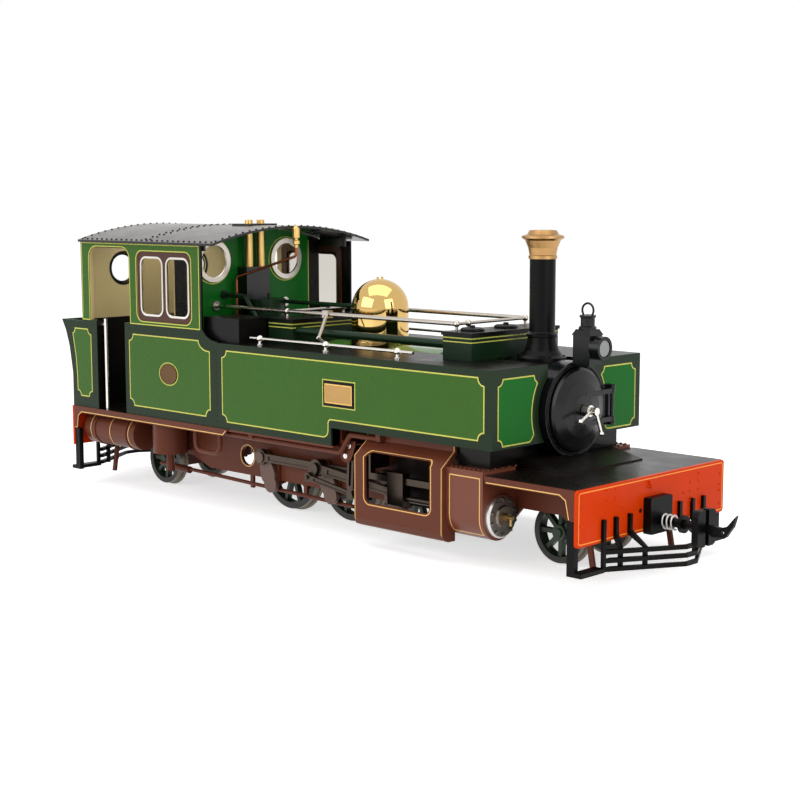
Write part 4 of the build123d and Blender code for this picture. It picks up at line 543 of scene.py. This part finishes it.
def oval(cx, cz, rx, rz, sides=48):
    turns = [2 * math.pi * k / sides for k in range(sides)]
    return [(cx + rx * math.cos(a), cz + rz * math.sin(a)) for a in turns]


def ring(cx, cz, r):
    return oval(cx, cz, r, r)


def sheet_part(points, at, proud):
    """A thin patch with its outline, as vertices and faces."""
    n = len(points)
    verts = [at(a, b, proud) for a, b in points] + [at(a, b, 0.0) for a, b in points]
    faces = [list(range(n)), list(range(2 * n - 1, n - 1, -1))]
    faces += [[i, (i + 1) % n, n + (i + 1) % n, n + i] for i in range(n)]
    return verts, faces


def holed_part(outer, holes, at, proud):
    """A thin patch with holes cut in it."""
    bm = bmesh.new()
    counts = []
    for loop in [outer] + holes:
        vs = [bm.verts.new((a, b, 0)) for a, b in loop]
        for i in range(len(vs)):
            bm.edges.new((vs[i], vs[(i + 1) % len(vs)]))
        counts.append(len(vs))
    bmesh.ops.triangle_fill(bm, use_beauty=True, use_dissolve=False, edges=bm.edges[:])
    bm.verts.index_update()
    pts = [(v.co.x, v.co.y) for v in bm.verts]
    tris = [[v.index for v in f.verts] for f in bm.faces]
    bm.free()
    n = len(pts)
    verts = [at(a, b, proud) for a, b in pts] + [at(a, b, 0.0) for a, b in pts]
    faces = tris + [[n + i for i in reversed(f)] for f in tris]
    start = 0
    for count in counts:
        for i in range(count):
            j = (i + 1) % count
            faces.append([start + i, start + j, n + start + j, n + start + i])
        start += count
    return verts, faces


def offset_path(points, closed, distance):
    out = []
    n = len(points)
    for i in range(n):
        p = Vector(points[i])
        before = Vector(points[(i - 1) % n]) if closed or i > 0 else None
        after = Vector(points[(i + 1) % n]) if closed or i < n - 1 else None
        normals = []
        for q0, q1 in ((before, p), (p, after)):
            if q0 is None or q1 is None or (q1 - q0).length < 1e-9:
                continue
            d = (q1 - q0).normalized()
            normals.append(Vector((-d.y, d.x)))
        m = sum(normals, Vector((0, 0))) / len(normals)
        m = m / max(m.length_squared, 0.25)
        out.append(p + m * distance)
    return out


def strip_part(points, at, width, proud, closed=True):
    left = offset_path(points, closed, width / 2)
    rgt = offset_path(points, closed, -width / 2)
    n = len(points)
    verts = []
    for i in range(n):
        verts += [at(*left[i], proud), at(*rgt[i], proud), at(*rgt[i], 0.0), at(*left[i], 0.0)]
    faces = []
    for i in range(n if closed else n - 1):
        j = (i + 1) % n
        for k in range(4):
            faces.append([4 * i + k, 4 * j + k, 4 * j + (k + 1) % 4, 4 * i + (k + 1) % 4])
    if not closed:
        faces += [[0, 1, 2, 3], [4 * n - 4, 4 * n - 3, 4 * n - 2, 4 * n - 1]]
    return verts, faces


def quads(rings, sides):
    """Faces between one ring of vertices and the next."""
    faces = []
    for j in range(rings - 1):
        near, far = j * sides, (j + 1) * sides
        for k in range(sides):
            after = (k + 1) % sides
            faces.append([near + k, near + after, far + after, far + k])
    return faces


def head_verts(centre, normal, r, h, sides, rings):
    """Rings of vertices for a bolt or rivet head. Each ring is (share of radius, share of height)."""
    n = Vector(normal).normalized()
    u = n.orthogonal().normalized()
    v = n.cross(u)
    c = P(*centre)
    verts = []
    for rr, hh in rings:
        for k in range(sides):
            a = 2 * math.pi * k / sides
            verts.append(c + (u * math.cos(a) + v * math.sin(a)) * (r * rr / 1000) + n * (h * hh / 1000))
    return verts


def dome_part(centre, normal, r, h, sides=8):
    """A low rivet head."""
    rings = ((1.0, -0.1), (1.0, 0.25), (0.8, 0.68), (0.42, 0.93))
    verts = head_verts(centre, normal, r, h, sides, rings)
    verts.append(P(*centre) + Vector(normal).normalized() * (h / 1000))
    faces = [list(range(sides))] + quads(len(rings), sides)
    faces += [[3 * sides + k, 3 * sides + (k + 1) % sides, 4 * sides] for k in range(sides)]
    return verts, faces


def hex_part(centre, normal, r, h):
    """A bolt head with a small chamfer."""
    rings = ((1.0, -0.1), (1.0, 0.8), (0.82, 1.0))
    faces = [list(range(6)), list(range(12, 18))] + quads(len(rings), 6)
    return head_verts(centre, normal, r, h, 6, rings), faces


def tube_part(points, r, sides=10):
    """A round tube through a list of places in mm."""
    pts = [P(*p) for p in points]
    verts = []
    ref = None
    for i, p in enumerate(pts):
        d = (pts[min(i + 1, len(pts) - 1)] - pts[max(i - 1, 0)]).normalized()
        if ref is None:
            ref = d.orthogonal().normalized()
        u = (ref - d * ref.dot(d)).normalized()
        ref = u
        v = d.cross(u)
        for k in range(sides):
            a = 2 * math.pi * k / sides
            verts.append(p + (u * math.cos(a) + v * math.sin(a)) * r / 1000)
    faces = quads(len(pts), sides)
    faces += [list(range(sides)), list(range(len(verts) - sides, len(verts)))]
    return verts, faces


def turned_part(x, y, z, axis, profile, sides=40):
    """A turned piece. The profile is (along, radius); axis is 'x' or 'y'."""
    verts = []
    for along, r in profile:
        for k in range(sides):
            a = 2 * math.pi * k / sides
            c, s = r * math.cos(a), r * math.sin(a)
            if axis == "x":
                verts.append(P(x + along, y + c, z + s))
            else:
                verts.append(P(x + c, y + along, z + s))
    faces = quads(len(profile), sides)
    faces += [list(range(sides)), list(range(len(verts) - sides, len(verts)))]
    return verts, faces


def join(parts):
    verts = []
    faces = []
    for v, f in parts:
        start = len(verts)
        verts += v
        faces += [[i + start for i in face] for face in f]
    return verts, faces


def piece(name, parts, material, body="root", smooth=False):
    v, f = join(parts)
    build(name, v, f, material, body, smooth)


# Faces of the CAD that the added pieces lie on, and the boiler's centre height.
TANK_SIDE = 53.5
TANK_FRONT = 133.5
CAB_FRONT = -87.8
BEAM_FACE = 180.5
BOILER_Z = 66.5

# How far panels and lines stand out, and how wide the lines are.
PANEL = 0.03
LINE_UP = 0.06
LINE_W = 0.62
FINE_W = 0.52
CREAM_W = 0.45
CREAM_UP = 0.05

# Angles in radians along a quarter circle, without its start.
QUARTER = (0.4, 0.8, 1.2, 1.57)

# ------------------------------------------------------------------ side panels and lining
panels, lines = [], []
for s in (-1, 1):
    at = side(s, TANK_SIDE)
    # incurved corners, and a reverse curve up beside the step
    tank_panel = (
        [(-44.0, 48.2), (27.4, 48.2)]
        + [(27.4 + 3.4 * math.sin(t), 48.2 + 3.4 * (1 - math.cos(t))) for t in QUARTER]
        + [(30.8, 55.2), (31.3, 56.4), (32.4, 57.0)]
        + [(125.2, 57.0)]
        + [(128.8 - 3.6 * math.cos(t), 57.0 + 3.6 * math.sin(t)) for t in QUARTER]
        + [(128.8, 80.8)]
        + [(128.8 - 3.6 * math.sin(t), 84.4 - 3.6 * math.cos(t)) for t in QUARTER]
        + [(-44.0, 84.4)]
        + [(-47.6 + 3.6 * math.cos(t), 84.4 - 3.6 * math.sin(t)) for t in QUARTER]
        + [(-47.6, 51.8)]
        + [(-47.6 + 3.6 * math.sin(t), 48.2 + 3.6 * math.cos(t)) for t in QUARTER[:3]]
    )
    cut = [(-57.5 - 9.0 * math.cos(t), 88.2 - 5.2 * math.sin(t)) for t in (0.0, 0.3, 0.6, 0.9, 1.2, 1.57)]
    cab_panel = (
        incurved([(-126.0, 88.2), (-126.0, 49.5), (-57.5, 49.5), (-57.5, 83.0)], [0, 3.6, 3.6, 0])[1:-1]
        + list(reversed(cut))
        + incurved([(-57.5, 88.2), (-126.0, 88.2), (-126.0, 49.5)], [0, 3.6, 0])[1:-1]
    )
    bunker_panel = incurved(
        [(-175.6, 50.6), (-161.8, 50.6), (-161.8, 88.4), (-180.0, 88.4),
         (-178.6, 82.0), (-176.6, 72.0), (-175.8, 62.0)],
        [3.0, 3.0, 3.0, 3.0, 0, 0, 0],
    )
    for outline in (tank_panel, cab_panel, bunker_panel):
        panels.append(sheet_part(outline, at, PANEL))
        lines.append(strip_part(outline, at, LINE_W, LINE_UP))
    # the upper sheet, with the door arch and the window left clear
    bow = [(-162.1, 94.0), (-162.1, 128.3)]
    bow += [(-155.5 - 6.6 * math.cos(t), 128.3 + 6.6 * math.sin(t)) for t in QUARTER]
    bow += [(-131.0 + 6.6 * math.sin(t), 128.3 + 6.6 * math.cos(t)) for t in (0.0,) + QUARTER]
    bow += [(-124.4, 94.0)]
    upper = bow + [(-65.1, 94.0), (-65.1, 136.5), (-168.6, 136.5), (-168.6, 100.0), (-169.1, 94.0)]
    window = rounded(-118.6, -71.4, 95.5, 133.3, 5.0)
    panels.append(holed_part(upper, [window], at, PANEL))
    lines.append(strip_part(upper, at, FINE_W, LINE_UP))
    lines.append(strip_part(window, at, FINE_W, LINE_UP))
piece("panels_side", panels, green)

# ------------------------------------------------------------------ front faces
front_panels, front_lines = [], []
for s in (-1, 1):
    at = facing(TANK_FRONT)
    outer, inner = 49.6, 24.8
    curve = []
    for k in range(9):
        z = 57.4 + (80.2 - 57.4) * k / 8
        y = math.sqrt(max(27.0**2 - (z - BOILER_Z) ** 2, 0))
        curve.append((s * y, z))
    outline = [(s * (outer - 3.0), 54.4)]
    outline += [(s * (outer - 3.0 * math.cos(t)), 54.4 + 3.0 * math.sin(t)) for t in QUARTER]
    outline += [(s * outer, 80.6)]
    outline += [(s * (outer - 3.0 * math.sin(t)), 83.6 - 3.0 * math.cos(t)) for t in QUARTER]
    outline += [(s * 25.6, 83.6), (s * 24.9, 81.6)]
    outline += list(reversed(curve))
    outline += [(s * 27.2, 55.2), (s * 28.4, 54.4)]
    front_panels.append(sheet_part(outline, at, PANEL))
    front_lines.append(strip_part(outline, at, LINE_W, LINE_UP))
piece("panels_front", front_panels, front_green)

# cab front: ring round each spectacle and a line down each side
at = facing(CAB_FRONT)
for y in (-25.7, 25.7):
    front_lines.append(strip_part(ring(y, 127.5, 12.0), at, FINE_W, LINE_UP))
for s in (-1, 1):
    front_lines.append(strip_part([(s * 43.0, 89.0), (s * 43.0, 137.2)], at, FINE_W, LINE_UP, closed=False))

# sandbox lines, two round each box under its top plate
for x0, x1, top in ((84.0, 101.6, 100.6), (-37.0, -19.0, 100.4)):
    for z in (top - 2.6, top - 4.4):
        for s in (-1, 1):
            front_lines.append(strip_part([(x0, z), (x1, z)], side(s, 31.0), 0.5, LINE_UP, closed=False))
        front_lines.append(strip_part([(-31.0, z), (31.0, z)], facing(x1), 0.5, LINE_UP, closed=False))
        front_lines.append(strip_part([(-31.0, z), (31.0, z)], facing(x0, -1), 0.5, LINE_UP, closed=False))
piece("lining_yellow", lines + front_lines, line)

# ------------------------------------------------------------------ brown undergear lining
cream_lines = []
for s in (-1, 1):
    # lower edge of the front and rear valances
    at = side(s, 54.4)
    cream_lines.append(strip_part(
        [(131.0, 39.4), (171.2, 39.4), (174.4, 37.4), (176.2, 29.4)], at, CREAM_W, CREAM_UP, closed=False))
    at = side(s, 54.3)
    cream_lines.append(strip_part(
        [(-178.0, 32.2), (-176.4, 32.2), (-175.0, 39.2), (-171.8, 41.4), (-47.0, 41.4), (-44.6, 43.6)],
        at, CREAM_W, CREAM_UP, closed=False))
    # the ring round the frame's hole
    at = side(s, 31.6)
    cream_lines.append(strip_part(ring(-54.3, 27.1, 5.7), at, CREAM_W, CREAM_UP))
# straps round the reservoir
strap = [(-0.25, 8.95), (-0.25, 9.06), (0.25, 9.06), (0.25, 8.95)]
for x in (-168.0, -150.0, -133.0):
    for s in (-1, 1):
        cream_lines.append(turned_part(x, s * 42.0, 31.8, "x", strap, 48))
piece("lining_cream", cream_lines, cream_line)

# front beam: fine line round its edge
at = facing(BEAM_FACE)
beam = rounded(-53.2, 53.2, 19.2, 40.8, 1.2)
piece("lining_beam", [strip_part(beam, at, 0.5, 0.05)], orange_line)

# ------------------------------------------------------------------ rivets
# The places of the beam's rivets are not a designed pattern. A scratch script printed most of them
# from points picked off the photo, and they were then grouped: sideways place, then heights.
beam_rivets = []
rivet_heights = {
    -52.0: (20.5, 27.0, 35.2, 40.0),
    -34.6: (30.3, 35.4, 40.0),
    -28.0: (26.1, 30.7, 35.2, 39.8),
    -23.0: (31.0,),
    -14.5: (30.5,),
    22.3: (31.0,),
    27.2: (26.8, 31.1, 35.2),
    33.9: (25.9, 31.1, 35.1, 38.5),
    51.0: (22.5, 28.3, 31.0, 36.0),
}
for y, heights in rivet_heights.items():
    for z in heights:
        beam_rivets.append(dome_part((BEAM_FACE, y, z), (1, 0, 0), 0.62, 0.5))
# lamp-iron hook and its bar
hook = [(180.4, -4.1, 39.6), (181.5, -4.1, 39.3), (181.7, -4.1, 37.8), (181.2, -4.1, 36.8)]
hook_bar = [(180.4, -5.6, 37.4), (181.0, -4.9, 37.3), (181.3, -4.1, 37.2)]
beam_rivets.append(tube_part(hook, 0.55))
beam_rivets.append(tube_part(hook_bar, 0.4))
piece("rivets_beam", beam_rivets, vermilion, smooth=True)
# painted shade: a dark disc stands for the shade inside the hole in the beam
hole = turned_part(BEAM_FACE, -10.2, 27.6, "x", [(-0.1, 1.0), (0.04, 1.0)], 24)
piece("beam_hole_painted_shade", [hole], black_dull)

roof_rivets = []
ROOF_R, CROWN = 192.0, 146.4


def roof_place(x, y):
    centre = CROWN - ROOF_R
    z = centre + math.sqrt(ROOF_R**2 - y**2)
    return (x, y, z), (0, y / ROOF_R, (z - centre) / ROOF_R)


for k in range(26):
    x = -166.8 + k * 4.5
    for y in (-53.6, 53.6):
        c, n = roof_place(x, y)
        roof_rivets.append(dome_part(c, n, 0.6, 0.5, 6))
for k in range(24):
    y = -51.75 + k * 4.5
    for x in (-167.3, -111.5, -107.5, -53.2):
        c, n = roof_place(x, y)
        roof_rivets.append(dome_part(c, n, 0.6, 0.5, 6))
piece("rivets_roof", roof_rivets, black_dull, body="roof", smooth=True)

casing_rivets = []
joint_rivets = []
for s in (-1, 1):
    for k in range(8):
        casing_rivets.append(dome_part((108.8 + k * 2.6, s * 51.6, 43.4), (0, 0, 1), 0.8, 0.8))
    for k in range(5):
        casing_rivets.append(dome_part((128.0, s * (31.0 + k * 4.6), 43.4), (0, 0, 1), 0.8, 0.8))
    for k in range(14):
        joint_rivets.append(dome_part((-52.2, s * TANK_SIDE, 48.0 + k * 2.75), (0, s, 0), 0.34, 0.3, 6))
    for x in (-126.6, -66.5):
        joint_rivets.append(dome_part((x, s * TANK_SIDE, 91.3), (0, s, 0), 0.4, 0.3, 6))
piece("rivets_casing", casing_rivets, brown, smooth=True)
piece("rivets_joint", joint_rivets, border, smooth=True)

# ------------------------------------------------------------------ motion lugs, each with two screws
lugs, screws = [], []
for s in (-1, 1):
    at = side(s, 46.9)
    shape = [(32.6, 46.9), (32.6, 41.0), (33.4, 38.2), (35.0, 36.6), (37.4, 36.2),
             (39.6, 37.2), (41.2, 39.6), (42.8, 44.0), (43.4, 46.9)]
    lugs.append(sheet_part(shape, at, 0.8))
    for x, z in ((39.2, 44.6), (36.7, 39.4)):
        head = [(-0.05 * s, 1.35), (0.35 * s, 1.35), (0.55 * s, 1.1)]
        screws.append(turned_part(x, s * 47.7, z, "y", head, 24))
        screws.append(turned_part(x, s * 48.2, z, "y", [(-0.05 * s, 0.7), (0.25 * s, 0.6)], 20))
piece("motion_lugs", lugs, brown)
piece("motion_lug_screws", screws, nickel)

# ------------------------------------------------------------------ bare plates
plates, trim, surround, round_line = [], [], [], []
works, rims = [], []
for s in (-1, 1):
    at = side(s, 53.53)
    box = [(29.3, 65.1), (47.2, 65.1), (47.2, 73.8), (29.3, 73.8)]
    plates.append(sheet_part(box, at, 0.3))
    trim.append(strip_part(box, at, 0.6, 0.42))
    wide = [(28.3, 64.1), (48.2, 64.1), (48.2, 74.8), (28.3, 74.8)]
    surround.append(strip_part(wide, at, 1.4, 0.03))
    wide = [(27.3, 63.1), (49.2, 63.1), (49.2, 75.8), (27.3, 75.8)]
    round_line.append(strip_part(wide, at, 0.5, 0.05))
    works_edge = oval(-91.8, 68.9, 6.9, 5.0)
    works.append(sheet_part(works_edge, at, 0.3))
    rims.append(strip_part(works_edge, at, 0.5, 0.42))
    round_line.append(strip_part(oval(-91.8, 68.9, 7.9, 5.9), at, 0.5, 0.05))
piece("name_plates", plates, plate_brass)
piece("name_plate_rims", trim, brass)
piece("name_plate_surrounds", surround, black_dull)
piece("works_plates", works, bronze)
piece("works_plate_rims", rims, bronze)
piece("lining_round_plates", round_line, line)

# ------------------------------------------------------------------ cab windows
wood_parts, bezels = [], []
for s in (-1, 1):
    at = side(s, 52.35)
    panes = [rounded(-114.8, -96.2, 99.2, 129.8, 4.2), rounded(-92.8, -74.2, 99.2, 129.8, 4.2)]
    wood_parts.append(holed_part(rounded(-119.4, -70.6, 94.6, 134.2, 3.5), panes, at, 0.62))
    for pane in panes:
        bezels.append(strip_part(pane, at, 1.1, 0.85))
piece("window_surrounds", wood_parts, wood)
piece("window_bezels", bezels, nickel)
dark = []
for y in (-25.7, 25.7):
    dark.append(strip_part(ring(y, 121.5, 8.9), facing(-168.3), 1.4, 0.25))
piece("back_window_rings", dark, black_dull)

# ------------------------------------------------------------------ boiler bands and smokebox rings
bands = []
for x in (-1.5, 27.5, 62.0):
    bands.append(turned_part(x, 0, BOILER_Z, "x", [(-0.9, 22.02), (-0.9, 22.2), (0.9, 22.2), (0.9, 22.02)], 72))
piece("boiler_bands", bands, border)

door_rings = []
for x, r in ((137.0, 20.9), (137.0, 19.9)):
    bead = [(0.0, r - 0.3), (0.35, r - 0.15), (0.35, r + 0.15), (0.0, r + 0.3)]
    door_rings.append(turned_part(x, 0, BOILER_Z, "x", bead, 72))
piece("smokebox_rings", door_rings, black_gloss, smooth=True)

# chimney base bolts
bolts = []
for k in range(6):
    a = math.radians(30 + 60 * k)
    y = 10.0 * math.sin(a)
    z = BOILER_Z + math.sqrt(21.8**2 - y * y) + 1.2
    bolts.append(hex_part((117.0 + 10.0 * math.cos(a), y, z), (0.1, y / 30, 1), 0.8, 1.0))
piece("chimney_bolts", bolts, black)

# ------------------------------------------------------------------ floor, world and lights
def seen_directly(tree):
    """1 for rays from the camera and for reflected and transmitted rays, and 0 for the rest."""
    path = tree.nodes.new("ShaderNodeLightPath")
    total = path.outputs["Is Camera Ray"]
    for kind in ("Is Glossy Ray", "Is Transmission Ray"):
        larger = tree.nodes.new("ShaderNodeMath")
        larger.operation = "MAXIMUM"
        tree.links.new(total, larger.inputs[0])
        tree.links.new(path.outputs[kind], larger.inputs[1])
        total = larger.outputs[0]
    return total


bpy.ops.mesh.primitive_plane_add(size=8, location=(0, 0, 0))
floor = bpy.context.object
floor.name = "floor"
m = bpy.data.materials.new("floor")
m.use_nodes = True
t = m.node_tree
t.nodes.clear()
out = t.nodes.new("ShaderNodeOutputMaterial")
diff = t.nodes.new("ShaderNodeBsdfDiffuse")
diff.inputs[0].default_value = (0.86, 0.86, 0.86, 1)
glow = t.nodes.new("ShaderNodeEmission")
gain = t.nodes.new("ShaderNodeMath")
gain.operation = "MULTIPLY"
gain.inputs[1].default_value = 0.62
t.links.new(seen_directly(t), gain.inputs[0])
t.links.new(gain.outputs[0], glow.inputs["Strength"])
add = t.nodes.new("ShaderNodeAddShader")
t.links.new(diff.outputs[0], add.inputs[0])
t.links.new(glow.outputs[0], add.inputs[1])
t.links.new(add.outputs[0], out.inputs[0])
floor.data.materials.append(m)

world = bpy.data.worlds.new("world")
scene.world = world
world.use_nodes = True
t = world.node_tree
t.nodes.clear()
out = t.nodes.new("ShaderNodeOutputWorld")
base = t.nodes.new("ShaderNodeBackground")
base.inputs[0].default_value = (1, 1, 1, 1)
base.inputs[1].default_value = 0.5
white = t.nodes.new("ShaderNodeBackground")
white.inputs[0].default_value = (1, 1, 1, 1)
white.inputs[1].default_value = 1.0
mix = t.nodes.new("ShaderNodeMixShader")
t.links.new(seen_directly(t), mix.inputs[0])
t.links.new(base.outputs[0], mix.inputs[1])
t.links.new(white.outputs[0], mix.inputs[2])
t.links.new(mix.outputs[0], out.inputs[0])


def softbox(name, place, target, size, power):
    data = bpy.data.lights.new(name, "AREA")
    data.shape = "RECTANGLE"
    data.size = size[0]
    data.size_y = size[1]
    data.energy = power
    obj = bpy.data.objects.new(name, data)
    scene.collection.objects.link(obj)
    obj.location = place
    obj.rotation_euler = (Vector(target) - Vector(place)).to_track_quat("-Z", "Y").to_euler()


softbox("key_top", (0.1, -0.15, 1.1), (0, 0, 0.05), (1.4, 1.0), 6.0)
softbox("key_side", (-0.25, -1.2, 0.55), (0, 0, 0.07), (1.2, 0.8), 6.0)
softbox("key_front", (1.25, -0.15, 0.5), (0.1, 0, 0.07), (0.8, 0.8), 4.5)
softbox("cab_glow", (-0.128, 0, 0.138), (-0.14, 0, 0.09), (0.05, 0.07), 0.022)
